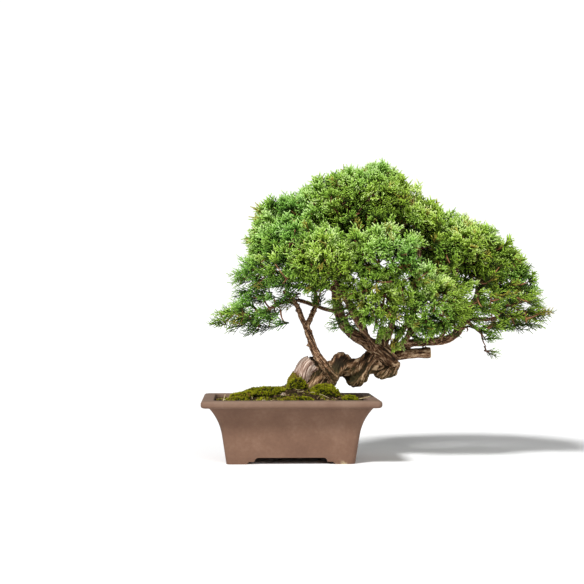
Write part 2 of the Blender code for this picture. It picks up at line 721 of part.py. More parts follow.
def make_pebbles(pieces):
    half_length, half_depth = soil_reach()
    for seed, (name, (share, radius)) in enumerate(PEBBLES.items()):
        x, y = share[0] * half_length, share[1] * half_depth
        height = max(soil_top(x + dx, y + dy) for dx in (-radius, radius) for dy in (-radius, radius))
        centre = (x, y, height + 0.4 + 0.75 * radius)
        half_sizes = (radius, radius * 0.85, radius * 0.7)
        pebble = lump(name, centre, half_sizes, pieces, 1, 0.2, seed + 9.0)
        finish(pebble, "stone")


# ---------------------------------------------------------------- foliage


def make_foliage(wood_room, pieces, cutters):
    """Pads of foliage, each with a socket for the limbs that carry it."""
    shapes = []
    for name, (centre, half_sizes) in PADS.items():
        where = TRUNK_FOOT + TREE_SCALE * Vector(centre)
        shapes.append((name, where, [TREE_SCALE * s for s in half_sizes], PAD_LUMPS))
    make_lumps(shapes, "foliage", [wood_room], pieces, cutters)


# ---------------------------------------------------------------- assembly


def centre_on_origin(pieces):
    """Hangs every piece from one empty, so placed that the origin is under the middle of their box."""
    corners = [v.co for obj in pieces.objects for v in obj.data.vertices]
    low = Vector(min(c[k] for c in corners) for k in range(3))
    high = Vector(max(c[k] for c in corners) for k in range(3))
    stand = bpy.data.objects.new("bonsai_stand_point", None)
    pieces.objects.link(stand)
    for obj in pieces.objects:
        if obj is not stand:
            obj.parent = stand
    stand.location = (-(low.x + high.x) / 2, -(low.y + high.y) / 2, -low.z)
    print("pot centre is at", [round(c / MM, 3) for c in stand.location], "mm")


def main():
    clear_scene()
    pieces = new_collection("bonsai")
    cutters = new_collection("cutters")
    make_pot(pieces, cutters)
    wood_room = make_wood(pieces, cutters)
    soil_room = make_soil(wood_room, pieces, cutters)
    for side, x in zip(("left", "right"), (-HOLE_OFFSET, HOLE_OFFSET)):
        make_screen(f"drainage_screen_{side}", x, pieces, cutters)
        make_clip(f"screen_clip_{side}", x, pieces)
    make_moss([soil_room, wood_room], pieces, cutters)
    make_pebbles(pieces)
    make_foliage(wood_room, pieces, cutters)
    centre_on_origin(pieces)


main()
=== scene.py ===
# %% [markdown]
# # A juniper bonsai in a clay pot
#
# The real thing is a small Chinese juniper: a grey dead stump, a trunk that winds to the right like
# a corkscrew, and a wide airy crown of green cords, in a flared pot of unglazed clay.
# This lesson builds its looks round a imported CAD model, which fixes every size and place.
# It goes from the large shapes to the small ones: view, pot, soil, wood, foliage, moss, litter.

import json
import math
import random

import bmesh
import bpy
import numpy as np
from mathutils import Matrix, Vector, noise
from mathutils.kdtree import KDTree

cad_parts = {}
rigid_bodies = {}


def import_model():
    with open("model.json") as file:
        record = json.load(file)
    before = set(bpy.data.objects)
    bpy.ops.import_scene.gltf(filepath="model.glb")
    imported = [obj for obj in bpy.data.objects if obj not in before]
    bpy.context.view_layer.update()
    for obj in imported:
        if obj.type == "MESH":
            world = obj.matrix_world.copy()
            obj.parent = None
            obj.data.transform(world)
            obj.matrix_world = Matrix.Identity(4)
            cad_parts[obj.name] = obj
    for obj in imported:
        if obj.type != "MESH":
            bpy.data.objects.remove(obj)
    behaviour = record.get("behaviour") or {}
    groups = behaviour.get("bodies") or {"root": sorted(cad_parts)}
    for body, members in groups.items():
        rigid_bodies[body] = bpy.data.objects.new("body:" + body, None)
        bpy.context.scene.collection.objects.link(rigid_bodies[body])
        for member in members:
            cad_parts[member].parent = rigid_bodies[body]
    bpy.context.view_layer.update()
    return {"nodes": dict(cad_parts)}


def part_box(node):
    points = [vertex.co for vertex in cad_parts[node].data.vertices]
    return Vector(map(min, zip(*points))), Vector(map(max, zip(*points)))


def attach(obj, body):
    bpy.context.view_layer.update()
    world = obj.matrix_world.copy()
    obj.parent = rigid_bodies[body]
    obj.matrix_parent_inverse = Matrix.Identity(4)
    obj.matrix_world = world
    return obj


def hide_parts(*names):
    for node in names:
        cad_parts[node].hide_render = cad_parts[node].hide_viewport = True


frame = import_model()

# %% [markdown]
# ## Two origins
# Two points of the CAD model serve as origins below. Sizes of the pot and of all it holds are counted
# from the middle of the pot's foot ring, and those of the tree from the foot of its trunk.
# They are written in millimetres, because a maker thinks in them, and `world` turns them to metres.

# %% Origins and units
MM = 0.001
pot_low, pot_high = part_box("pot")
POT_HALF = ((pot_high.x - pot_low.x) / 2 / MM, (pot_high.y - pot_low.y) / 2 / MM)
POT_HEIGHT = pot_high.z / MM
POT_CENTRE = Vector(((pot_low.x + pot_high.x) / 2, (pot_low.y + pot_high.y) / 2, 0.0))
TRUNK_FOOT = Vector((8.0, 0.0, POT_HEIGHT))


def world(point):
    """A point in millimetres from the pot's centre, in metres in the CAD frame."""
    return POT_CENTRE + Vector(point) * MM


print("pot", [round(2 * h) for h in POT_HALF], "x", round(POT_HEIGHT), "mm; its centre is at", POT_CENTRE)

# %% [markdown]
# ## The view, the light and the floor
# A small tree looks its real size from a metre and a half away through a short telephoto lens. The camera
# is nearly level with the trunk, so the pot shows only a sliver of its soil. Two soft lamps, one over
# the left shoulder and a weaker one nearly in front, shape the crown and the bark. The world around is white:
# a Light Path node makes it bright where the camera sees it and dimmer where it lights the tree,
# because a world as bright as the backdrop would wash out every shadow between the leaves.
# The floor is a pale sheet that runs on behind the tree, so no horizon shows.

# %% Camera
CAMERA_LENS = 84.711
CAMERA_PLACE = (-53.5, -1581.4, 172.0)
CAMERA_YAW = 0.03561
CAMERA_PITCH = 0.01302

camera_data = bpy.data.cameras.new("camera")
camera_data.sensor_width = 36.0
camera_data.lens = CAMERA_LENS
camera_data.clip_start = 0.05
camera_data.clip_end = 50.0
camera = bpy.data.objects.new("camera", camera_data)
camera.location = world(CAMERA_PLACE)
ahead = Vector(
    (
        math.sin(CAMERA_YAW) * math.cos(CAMERA_PITCH),
        math.cos(CAMERA_YAW) * math.cos(CAMERA_PITCH),
        math.sin(CAMERA_PITCH),
    )
)
camera.rotation_euler = ahead.to_track_quat("-Z", "Y").to_euler()
bpy.context.scene.collection.objects.link(camera)
bpy.context.scene.camera = camera
print("lens", round(camera_data.lens, 1), "mm")

# %% Light and floor
WORLD_LIGHT = 0.28
BACKDROP_LIGHT = 1.05
# name, strength, width in degrees, and the way that the light travels
LAMPS = (("key_light", 3.9, 12, (0.5, 0.75, -0.95)), ("second_light", 1.2, 35, (-0.4, 0.95, -0.55)))
FLOOR_REACH = 300

bpy.context.scene.view_settings.view_transform = "Standard"
room = bpy.data.worlds.new("white_room")
room.use_nodes = True
backdrop = room.node_tree.nodes["Background"]
backdrop.inputs["Color"].default_value = (1.0, 1.0, 1.0, 1.0)
seen = room.node_tree.nodes.new("ShaderNodeLightPath")
strength = room.node_tree.nodes.new("ShaderNodeMapRange")
strength.inputs["To Min"].default_value = WORLD_LIGHT
strength.inputs["To Max"].default_value = BACKDROP_LIGHT
room.node_tree.links.new(seen.outputs["Is Camera Ray"], strength.inputs["Value"])
room.node_tree.links.new(strength.outputs["Result"], backdrop.inputs["Strength"])
bpy.context.scene.world = room

for name, power, spread, direction in LAMPS:
    lamp_data = bpy.data.lights.new(name, "SUN")
    lamp_data.energy = power
    lamp_data.angle = math.radians(spread)
    lamp = bpy.data.objects.new(name, lamp_data)
    lamp.rotation_euler = Vector(direction).to_track_quat("-Z", "Y").to_euler()
    bpy.context.scene.collection.objects.link(lamp)

floor_mesh = bpy.data.meshes.new("floor")
corners = [(x * FLOOR_REACH, y * FLOOR_REACH, 0) for x, y in ((-1, -1), (1, -1), (1, 1), (-1, 1))]
floor_mesh.from_pydata(corners, [], [(0, 1, 2, 3)])
floor = bpy.data.objects.new("floor", floor_mesh)
bpy.context.scene.collection.objects.link(floor)
print("lamps", [lamp[0] for lamp in LAMPS])

# %% [markdown]
# ## Shader groups
# Two effects come back in nearly every finish. `mottle` is a mask of soft clouds at a coarse and a
# fine scale, which breaks up any even colour. `grain` is a height for a Bump node, made of fine noise.
# Each is built once as a group and then placed in each material with its own scale.

# %% Groups and material helpers


def new_group(name, inputs, output):
    """An empty shader group, with its inputs' and output's sockets as its own nodes hold them.

    Besides a vector it takes numbers (name, value), and it gives one number.
    """
    group = bpy.data.node_groups.new(name, "ShaderNodeTree")
    group.interface.new_socket("Vector", in_out="INPUT", socket_type="NodeSocketVector")
    for label, value in inputs:
        socket = group.interface.new_socket(label, in_out="INPUT", socket_type="NodeSocketFloat")
        socket.default_value = value
    group.interface.new_socket(output, in_out="OUTPUT", socket_type="NodeSocketFloat")
    return group, group.nodes.new("NodeGroupInput").outputs, group.nodes.new("NodeGroupOutput").inputs


def node(tree, kind, values=None, **settings):
    """Adds a node, sets its properties, and fills or links its inputs by name or number."""
    made = tree.nodes.new(kind)
    for key, value in settings.items():
        setattr(made, key, value)
    for key, value in (values or {}).items():
        socket = made.inputs[key]
        if isinstance(value, bpy.types.NodeSocket):
            tree.links.new(value, socket)
        else:
            socket.default_value = value
    return made


def math_node(tree, operation, a, b=0.0, clamp=False):
    return node(tree, "ShaderNodeMath", {0: a, 1: b}, operation=operation, use_clamp=clamp).outputs[0]


def times(tree, a, b):
    return math_node(tree, "MULTIPLY", a, b)


def plus(tree, a, b, clamp=False):
    return math_node(tree, "ADD", a, b, clamp)


def stretch(tree, value, low, high):
    """Maps low..high to 0..1 and stops there; low may be the larger."""
    return node(tree, "ShaderNodeMapRange", {"Value": value, "From Min": low, "From Max": high}).outputs[0]


def noise_value(tree, vector, scale, detail, **more):
    values = {"Vector": vector, "Scale": scale, "Detail": detail, **more}
    return node(tree, "ShaderNodeTexNoise", values).outputs["Fac"]


def build_mottle():
    scales = [("Coarse Scale", 20.0), ("Fine Scale", 200.0), ("Fine Share", 0.4)]
    group, given, out = new_group("mottle", scales, "Mask")
    coarse = noise_value(group, given["Vector"], given["Coarse Scale"], 4.0)
    fine = noise_value(group, given["Vector"], given["Fine Scale"], 3.0)
    mixed = node(group, "ShaderNodeMix", {"Factor": given["Fine Share"], "A": coarse, "B": fine})
    group.links.new(stretch(group, mixed.outputs[0], 0.32, 0.68), out["Mask"])
    return group


def build_grain():
    group, given, out = new_group("grain", [("Scale", 800.0), ("Pits", 0.3)], "Height")
    fine = noise_value(group, given["Vector"], given["Scale"], 5.0, Roughness=0.65)
    cells = node(group, "ShaderNodeTexVoronoi", {"Vector": given["Vector"], "Scale": given["Scale"]})
    pit = math_node(group, "SUBTRACT", 1.0, stretch(group, cells.outputs["Distance"], 0.0, 0.35))
    height = math_node(group, "SUBTRACT", fine, times(group, pit, given["Pits"]))
    group.links.new(height, out["Height"])
    return group


MOTTLE = build_mottle()
GRAIN = build_grain()


def place_group(tree, group, vector, **values):
    """Places a group in a tree and sets its inputs: `fine_scale` sets Fine Scale."""
    made = node(tree, "ShaderNodeGroup", node_tree=group)
    tree.links.new(vector, made.inputs["Vector"])
    for key, value in values.items():
        made.inputs[key.replace("_", " ").title()].default_value = value
    return made.outputs[0]


def new_finish(name, roughness):
    """A material with its tree, its Principled BSDF, and Object coordinates to paint by."""
    made = bpy.data.materials.new(name)
    made.use_nodes = True
    tree = made.node_tree
    shader = tree.nodes["Principled BSDF"]
    shader.inputs["Roughness"].default_value = roughness
    where = tree.nodes.new("ShaderNodeTexCoord").outputs["Object"]
    return made, tree, shader, where


def ramp(tree, factor, stops):
    """A colour ramp with (place, (red, green, blue)) stops."""
    made = node(tree, "ShaderNodeValToRGB", {"Fac": factor})
    points = made.color_ramp.elements
    while len(points) < len(stops):
        points.new(0.5)
    for point, (place, colour) in zip(points, stops):
        point.position = place
        point.color = (*colour, 1.0)
    return made.outputs["Color"]


def blend_colour(tree, factor, a, b):
    """Mixes two colours; each is a socket or (red, green, blue)."""
    given = [c if isinstance(c, bpy.types.NodeSocket) else (*c, 1.0) for c in (a, b)]
    made = node(tree, "ShaderNodeMix", data_type="RGBA")
    for socket, value in zip((made.inputs[0], made.inputs[6], made.inputs[7]), (factor, *given)):
        if isinstance(value, bpy.types.NodeSocket):
            tree.links.new(value, socket)
        else:
            socket.default_value = value
    return made.outputs[2]


def bump(tree, shader, height, strength, distance_mm):
    values = {"Height": height, "Strength": strength, "Distance": distance_mm * MM}
    made = node(tree, "ShaderNodeBump", values)
    tree.links.new(made.outputs["Normal"], shader.inputs["Normal"])


def attribute(tree, name, output="Fac"):
    return node(tree, "ShaderNodeAttribute", attribute_name=name).outputs[output]


def paint(tree, shader, colour):
    tree.links.new(colour, shader.inputs["Base Color"])


def roughen(tree, shader, where, scale, pits, strength, distance_mm):
    """A Bump from the grain group."""
    bump(tree, shader, place_group(tree, GRAIN, where, scale=scale, pits=pits), strength, distance_mm)


floor_finish, tree, shader, where = new_finish("pale_floor", 0.9)
shader.inputs["Base Color"].default_value = (0.9, 0.9, 0.9, 1.0)
floor.data.materials.append(floor_finish)

# %% [markdown]
# ## Turning shapes into pieces
# Every piece ends as a plain mesh at the origin, riding on the CAD's one body. These helpers make
# meshes from lists of points, turn modifiers and node trees into plain meshes, and hand a finished
# piece over with the CAD node that it stands for.

# %% Mesh helpers


def new_object(name, mesh):
    made = bpy.data.objects.new(name, mesh)
    bpy.context.scene.collection.objects.link(made)
    return made


def object_from_points(name, points, faces):
    """A mesh object from points in millimetres from the pot's centre."""
    mesh = bpy.data.meshes.new(name)
    moved = np.asarray(points, float).reshape(-1, 3) * MM + np.array(POT_CENTRE)
    mesh.from_pydata(moved.tolist(), [], faces)
    mesh.validate()
    return new_object(name, mesh)


def store(mesh, label, values, kind="FLOAT", field="value"):
    """Writes one value for each point of a mesh."""
    mesh.attributes.new(label, kind, "POINT").data.foreach_set(field, values)


def bake(piece):
    """Replaces a piece's modifiers with the plain mesh that they make."""
    graph = bpy.context.evaluated_depsgraph_get()
    mesh = bpy.data.meshes.new_from_object(piece.evaluated_get(graph))
    piece.modifiers.clear()
    piece.data = mesh
    return piece


def cut(piece, cutter):
    modifier = piece.modifiers.new("cut", "BOOLEAN")
    modifier.operation = "DIFFERENCE"
    modifier.object = cutter
    bake(piece)
    bpy.data.objects.remove(cutter)
    return piece


def hand_over(piece, finish, replaced=(), smooth_degrees=40.0):
    """Gives a piece its finish and hands it to the frame."""
    piece.data.materials.clear()
    piece.data.materials.append(finish)
    piece.data.shade_smooth()
    if smooth_degrees < 180.0:
        piece.data.set_sharp_from_angle(angle=math.radians(smooth_degrees))
    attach(piece, "root")
    if replaced:
        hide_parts(*replaced)
    triangles = sum(len(p.vertices) - 2 for p in piece.data.polygons)
    print(f"{piece.name}: {triangles} triangles")
    return piece


# %% [markdown]
# ## The pot
# The real pot is pressed from reddish brown clay and fired without a glaze. Its walls flare out to
# a thick rounded rim, and it stands on four stepped feet. It could be modelled from a cube with
# loop cuts, but its walls follow a curve, so it is drawn up level by level from a rounded rectangle:
# each level is set in from the rim's edge by what the curve says. Boolean cuts then hollow it out,
# open the arches between the feet and drill the drain holes, and a Bevel softens the cut edges.

# %% Pot shape
RIM_UNDERSIDE = POT_HEIGHT - 8.2
RIM_WIDTH = 14.0
RIM_ROUNDING = 3.2
RIM_OVERHANG = 8.6
FOOT_INSET = 28.0
FLARE_START = 30.0
FLARE_POWER = 2.4
WALL_TAPER = 0.15
POT_WALL = 6.5
FLOOR_TOP = 14.8
FLOOR_UNDERSIDE = 7.8
FOOT_LENGTH = 22.4
HOLE_OFFSET = 36.0
HOLE_RADIUS = 7.5


def steps(start, end, count):
    return [start + (end - start) * i / count for i in range(count + 1)]


def wall_inset(z):
    """How far the outer wall stands inside the rim's edge at height z."""
    rise = max(0.0, z - FLARE_START) / (RIM_UNDERSIDE - FLARE_START)
    curve = FOOT_INSET - WALL_TAPER * RIM_UNDERSIDE - RIM_OVERHANG
    return FOOT_INSET - WALL_TAPER * z - curve * rise**FLARE_POWER


def arc(centre_inset, centre_z, radius, from_degrees, to_degrees, count):
    angles = [math.radians(a) for a in steps(from_degrees, to_degrees, count)]
    return [(centre_inset - radius * math.cos(a), centre_z + radius * math.sin(a)) for a in angles]


def rounded_rectangle(half_length, half_depth, corner, corner_steps):
    made = []
    for turn in range(4):
        centre_x = (half_length - corner) * (1 if turn in (0, 3) else -1)
        centre_y = (half_depth - corner) * (1 if turn in (0, 1) else -1)
        for degrees in steps(90.0 * turn, 90.0 * (turn + 1), corner_steps):
            a = math.radians(degrees)
            made.append((centre_x + corner * math.cos(a), centre_y + corner * math.sin(a)))
    return made


def rounded_block(name, levels, corner, corner_steps=9):
    """A closed block through (inset, z) levels, as rings joined by quads."""
    rings = []
    for inset, z in levels:
        outline = rounded_rectangle(POT_HALF[0] - inset, POT_HALF[1] - inset, corner, corner_steps)
        rings.append([(x, y, z) for x, y in outline])
    count = len(rings[0])
    faces = [tuple(reversed(range(count)))]
    for level in range(len(rings) - 1):
        a, b = level * count, (level + 1) * count
        faces += [(a + i, a + (i + 1) % count, b + (i + 1) % count, b + i) for i in range(count)]
    faces.append(tuple((len(rings) - 1) * count + i for i in range(count)))
    return object_from_points(name, [p for ring in rings for p in ring], faces)


def foot_arch(name, half_side, across, turned, drop):
    """A cutter in the shape of the stepped opening between two feet."""
    toe = half_side - FOOT_LENGTH
    step, spring, ledge, rise = toe - 2.8, toe - 8.8, 3.2 - drop, FLOOR_UNDERSIDE - 3.2
    half = [
        (spring - rise + rise * math.sin(a), ledge + rise * math.cos(a))
        for a in [math.radians(d) for d in steps(0, 90, 6)]
    ]
    half += [(step, ledge), (toe, 0.0), (toe + 2.8, -2.0)]
    outline = half + [(-x, z) for x, z in reversed(half)]
    count = len(outline)
    points = [(x, side, z) for side in (-across, across) for x, z in outline]
    if turned:
        points = [(-y, x, z) for x, y, z in points]
    faces = [tuple(range(count)), tuple(reversed(range(count, 2 * count)))]
    faces += [(i, i + count, (i + 1) % count + count, (i + 1) % count) for i in range(count)]
    cutter = object_from_points(name, points, faces)
    bm = bmesh.new()
    bm.from_mesh(cutter.data)
    bmesh.ops.recalc_face_normals(bm, faces=bm.faces)
    bm.to_mesh(cutter.data)
    bm.free()
    return cutter


outside = [(wall_inset(z), z) for z in steps(0.0, FLARE_START, 4) + steps(FLARE_START, RIM_UNDERSIDE, 14)[1:]]
outside += arc(RIM_ROUNDING, RIM_UNDERSIDE + RIM_ROUNDING, RIM_ROUNDING, -85, 0, 6)
outside += arc(RIM_ROUNDING, POT_HEIGHT - RIM_ROUNDING, RIM_ROUNDING, 5, 90, 6)
inside = [(max(wall_inset(z) + POT_WALL, RIM_WIDTH), z) for z in steps(FLOOR_TOP, RIM_UNDERSIDE, 12)]
inside += [(RIM_WIDTH, RIM_UNDERSIDE + 1.5), *arc(RIM_WIDTH - 1.5, POT_HEIGHT - 1.5, 1.5, 180, 90, 5)]
inside += [(RIM_WIDTH - 1.5, POT_HEIGHT + 2.0)]

clay_pot = rounded_block("clay_pot", outside, 6.0)
cut(clay_pot, rounded_block("cavity", inside, 9.0))
cut(clay_pot, foot_arch("side_arch", POT_HALF[1] - FOOT_INSET, POT_HALF[0], True, 0.0))
cut(clay_pot, foot_arch("front_arch", POT_HALF[0] - FOOT_INSET, POT_HALF[1], False, 0.4))
for hole_x in (-HOLE_OFFSET, HOLE_OFFSET):
    bpy.ops.mesh.primitive_cylinder_add(
        vertices=40, radius=HOLE_RADIUS * MM, depth=0.06, location=world((hole_x, 0.0, 0.0))
    )
    cut(clay_pot, bpy.context.object)
soften = clay_pot.modifiers.new("soften", "BEVEL")
soften.width = 0.45 * MM
soften.segments = 2
soften.limit_method = "ANGLE"
soften.angle_limit = math.radians(40)
bake(clay_pot)

# %% [markdown]
# ## Unglazed clay
# Fired clay is matt. Here it shows cloudy patches of lighter and darker brown, fine sandy speckles, a paler
# and dustier rim where hands and watering have worn it, and lime stains low on the feet. The height
# masks read Object coordinates, which are the CAD frame's metres, so they stay in place.

# %% Clay finish
clay, tree, shader, where = new_finish("unglazed_clay", 0.82)
patches = place_group(tree, MOTTLE, where, coarse_scale=34.0, fine_scale=260.0, fine_share=0.3)
body_colour = ramp(
    tree, patches, [(0.0, (0.122, 0.060, 0.035)), (0.55, (0.150, 0.078, 0.046)), (1.0, (0.185, 0.103, 0.065))]
)
specks = stretch(tree, noise_value(tree, where, 1500.0, 2.0), 0.62, 0.72)
body_colour = blend_colour(tree, times(tree, specks, 0.45), body_colour, (0.09, 0.055, 0.038))
height = node(tree, "ShaderNodeSeparateXYZ", {"Vector": where}).outputs["Z"]
near_rim = stretch(tree, height, (POT_HEIGHT - 9.0) * MM, (POT_HEIGHT - 0.5) * MM)
worn = plus(tree, times(tree, patches, 0.5), 0.45)
dust = math_node(tree, "MULTIPLY", near_rim, worn, clamp=True)
body_colour = blend_colour(tree, dust, body_colour, (0.185, 0.123, 0.087))
near_floor = stretch(tree, height, 5.0 * MM, 0.0)
lime = stretch(tree, patches, 0.55, 0.75)
body_colour = blend_colour(tree, times(tree, near_floor, lime), body_colour, (0.42, 0.34, 0.2))
paint(tree, shader, body_colour)
roughen(tree, shader, where, 900.0, 0.4, 0.35, 0.25)
hand_over(clay_pot, clay, ["pot"])

# %% [markdown]
# ## One node tree for all that repeats
# Grains of soil, moss stems and foliage sprays repeat by the thousand, so Geometry Nodes place them.
# The tree takes a cloud of points, each with a direction, a turn, a size and the number of the shape
# that belongs there. It sets the shapes on the points and makes the result one plain mesh, because the
# export drops instances. The point clouds come from Python, which knows where the soil and limbs are.

# %% The repeating tree


def new_tree(name, sockets):
    """A Geometry Nodes tree with a Geometry input and output and the named inputs."""
    tree = bpy.data.node_groups.new(name, "GeometryNodeTree")
    tree.interface.new_socket("Geometry", in_out="INPUT", socket_type="NodeSocketGeometry")
    for label, kind, value in sockets:
        socket = tree.interface.new_socket(label, in_out="INPUT", socket_type=kind)
        if value is not None:
            socket.default_value = value
    tree.interface.new_socket("Geometry", in_out="OUTPUT", socket_type="NodeSocketGeometry")
    return tree, tree.nodes.new("NodeGroupInput").outputs, tree.nodes.new("NodeGroupOutput").inputs


def point_value(tree, name, kind):
    return node(tree, "GeometryNodeInputNamedAttribute", {"Name": name}, data_type=kind).outputs[0]


def build_set_pieces():
    tree, given, out = new_tree(
        "set_pieces_on_points",
        [
            ("Pieces", "NodeSocketCollection", None),
            ("Piece Size", "NodeSocketFloat", 1.0),
            ("Finish", "NodeSocketMaterial", None),
        ],
    )
    stock = node(
        tree, "GeometryNodeCollectionInfo",
        {"Collection": given["Pieces"], "Separate Children": True, "Reset Children": True},
    )
    aim = point_value(tree, "aim", "FLOAT_VECTOR")
    aligned = node(tree, "FunctionNodeAlignRotationToVector", {"Vector": aim}, axis="Z")
    roll = {"Axis": (0.0, 0.0, 1.0), "Angle": point_value(tree, "roll", "FLOAT")}
    turn = node(tree, "FunctionNodeAxisAngleToRotation", roll)
    turned = node(
        tree, "FunctionNodeRotateRotation",
        {"Rotation": aligned.outputs[0], "Rotate By": turn.outputs[0]}, rotation_space="LOCAL",
    )
    placed = node(
        tree, "GeometryNodeInstanceOnPoints",
        {
            "Points": given["Geometry"], "Instance": stock.outputs[0], "Pick Instance": True,
            "Instance Index": point_value(tree, "kind", "INT"), "Rotation": turned.outputs[0],
            "Scale": times(tree, point_value(tree, "size", "FLOAT"), given["Piece Size"]),
        },
    )
    real = node(tree, "GeometryNodeRealizeInstances", {"Geometry": placed.outputs[0]})
    finished = {"Geometry": real.outputs[0], "Material": given["Finish"]}
    tree.links.new(node(tree, "GeometryNodeSetMaterial", finished).outputs[0], out["Geometry"])
    return tree


def run_tree(piece, tree, **inputs):
    """Puts the tree on a piece, sets its inputs by identifier, and makes the result a plain mesh."""
    modifier = piece.modifiers.new(tree.name, "NODES")
    modifier.node_group = tree
    for item in tree.interface.items_tree:
        key = item.name.lower().replace(" ", "_")
        if item.in_out == "INPUT" and key in inputs:
            modifier[item.identifier] = inputs[key]
    return bake(piece)


SET_PIECES = build_set_pieces()


def point_cloud(name, rows):
    """A mesh of loose points that carry aim, roll, size, tone, warmth and kind."""
    cloud = object_from_points(name, [tuple(r[0]) for r in rows], [])
    store(cloud.data, "aim", [c for r in rows for c in r[1]], "FLOAT_VECTOR", "vector")
    for label, column in (("roll", 2), ("size", 3), ("tone", 4), ("warm", 5)):
        store(cloud.data, label, [r[column] for r in rows])
    store(cloud.data, "kind", [r[6] for r in rows], "INT")
    return cloud


def give_finish(names, finish):
    """Gives CAD nodes that stay in the model their material."""
    for name in names:
        mesh = frame["nodes"][name].data
        mesh.materials.clear()
        mesh.materials.append(finish)


# %% [markdown]
# ## Soil
# Bonsai soil is a mix of fired clay grains one to three millimetres across, with darker bits of
# bark. The CAD soil is a plain mound, which stays as the body of the soil. Over its surface go
# loose grains: three lumpy shapes of 20 faces each, half sunk.

# %% Soil grains
SOIL_LEVEL = POT_HEIGHT - 4.6
SOIL_HALF = (POT_HALF[0] - RIM_WIDTH - 0.3, POT_HALF[1] - RIM_WIDTH - 0.3)
MOUND_HEIGHT = 16.0
GRAINS = 4200


def soil_top(x, y):
    """The height of the soil over a point, all in millimetres."""
    across = ((x - TRUNK_FOOT.x) / SOIL_HALF[0]) ** 2 + (y / SOIL_HALF[1]) ** 2
    return SOIL_LEVEL + MOUND_HEIGHT * max(0.0, 1.0 - across / 0.8) ** 1.5


def lumpy_stock(name, kinds, seed):
    """A collection of small uneven lumps, one millimetre in radius."""
    stock = bpy.data.collections.new(name)
    bpy.context.scene.collection.children.link(stock)
    for kind in range(kinds):
        bm = bmesh.new()
        bmesh.ops.create_icosphere(bm, subdivisions=1, radius=MM)
        for vert in bm.verts:
            vert.co *= 1.0 + 0.5 * noise.noise(vert.co / MM + Vector((seed, kind * 3.7, 0)))
            vert.co.z *= 0.75
        mesh = bpy.data.meshes.new(f"{name}_{kind}")
        bm.to_mesh(mesh)
        bm.free()
        stock.objects.link(bpy.data.objects.new(f"{name}_{kind}", mesh))
    return stock


def clear_stock(stock):
    for shape in list(stock.objects):
        bpy.data.objects.remove(shape)
    bpy.data.collections.remove(stock)


cast = random.Random(11)
rows = []
while len(rows) < GRAINS:
    x, y = cast.uniform(-1, 1) * (SOIL_HALF[0] - 1.5), cast.uniform(-1, 1) * (SOIL_HALF[1] - 1.5)
    size = cast.uniform(0.55, 1.0) if cast.random() < 0.85 else cast.uniform(1.0, 1.9)
    up = (cast.gauss(0, 0.5), cast.gauss(0, 0.5), 1.0)
    place = (x, y, soil_top(x, y) + 0.25 * size)
    rows.append((place, up, cast.uniform(0, 6.28), size, cast.random(), 0.0, cast.randrange(3)))
grain_stock = lumpy_stock("grain", 3, 2.0)

soil_finish, tree, shader, where = new_finish("bonsai_soil", 0.9)
shader.inputs["Specular IOR Level"].default_value = 0.12
tone = attribute(tree, "tone")
clouds = place_group(tree, MOTTLE, where, coarse_scale=70.0, fine_scale=700.0, fine_share=0.5)
mixed = plus(tree, times(tree, tone, 0.75), times(tree, clouds, 0.25))
soil_colours = [
    (0.0, (0.008, 0.005, 0.002)), (0.45, (0.042, 0.025, 0.010)), (0.8, (0.14, 0.09, 0.045)),
    (1.0, (0.40, 0.30, 0.18)),
]
paint(tree, shader, ramp(tree, mixed, soil_colours))
roughen(tree, shader, where, 1300.0, 0.4, 0.5, 0.3)
grains = point_cloud("soil_grains", rows)
run_tree(grains, SET_PIECES, pieces=grain_stock, piece_size=1.0, finish=soil_finish)
hand_over(grains, soil_finish, smooth_degrees=180.0)
clear_stock(grain_stock)
give_finish(["soil"], soil_finish)

# %% [markdown]
# ## Tubes and the tree's skeleton
# Each limb is a list of points from the trunk's foot with the limb's radius at each, in millimetres.
# A Catmull-Rom curve runs smoothly through them. The corkscrew follows a rule instead: it rises on the
# front, passes over the top and falls behind, while it moves right.

# %% Limb lists
COIL_TURNS = 2.8
COIL_PITCH = 34.4
COIL_RADIUS = 10.0
COIL_TIGHTENING = 0.5
COIL_STRAND = 9.7
COIL_STEPS = 24
COIL_START = (17.0, 29.0)
COIL_LIFT = 1.2
SWELL, SWELL_LOSS = 0.7, 0.2

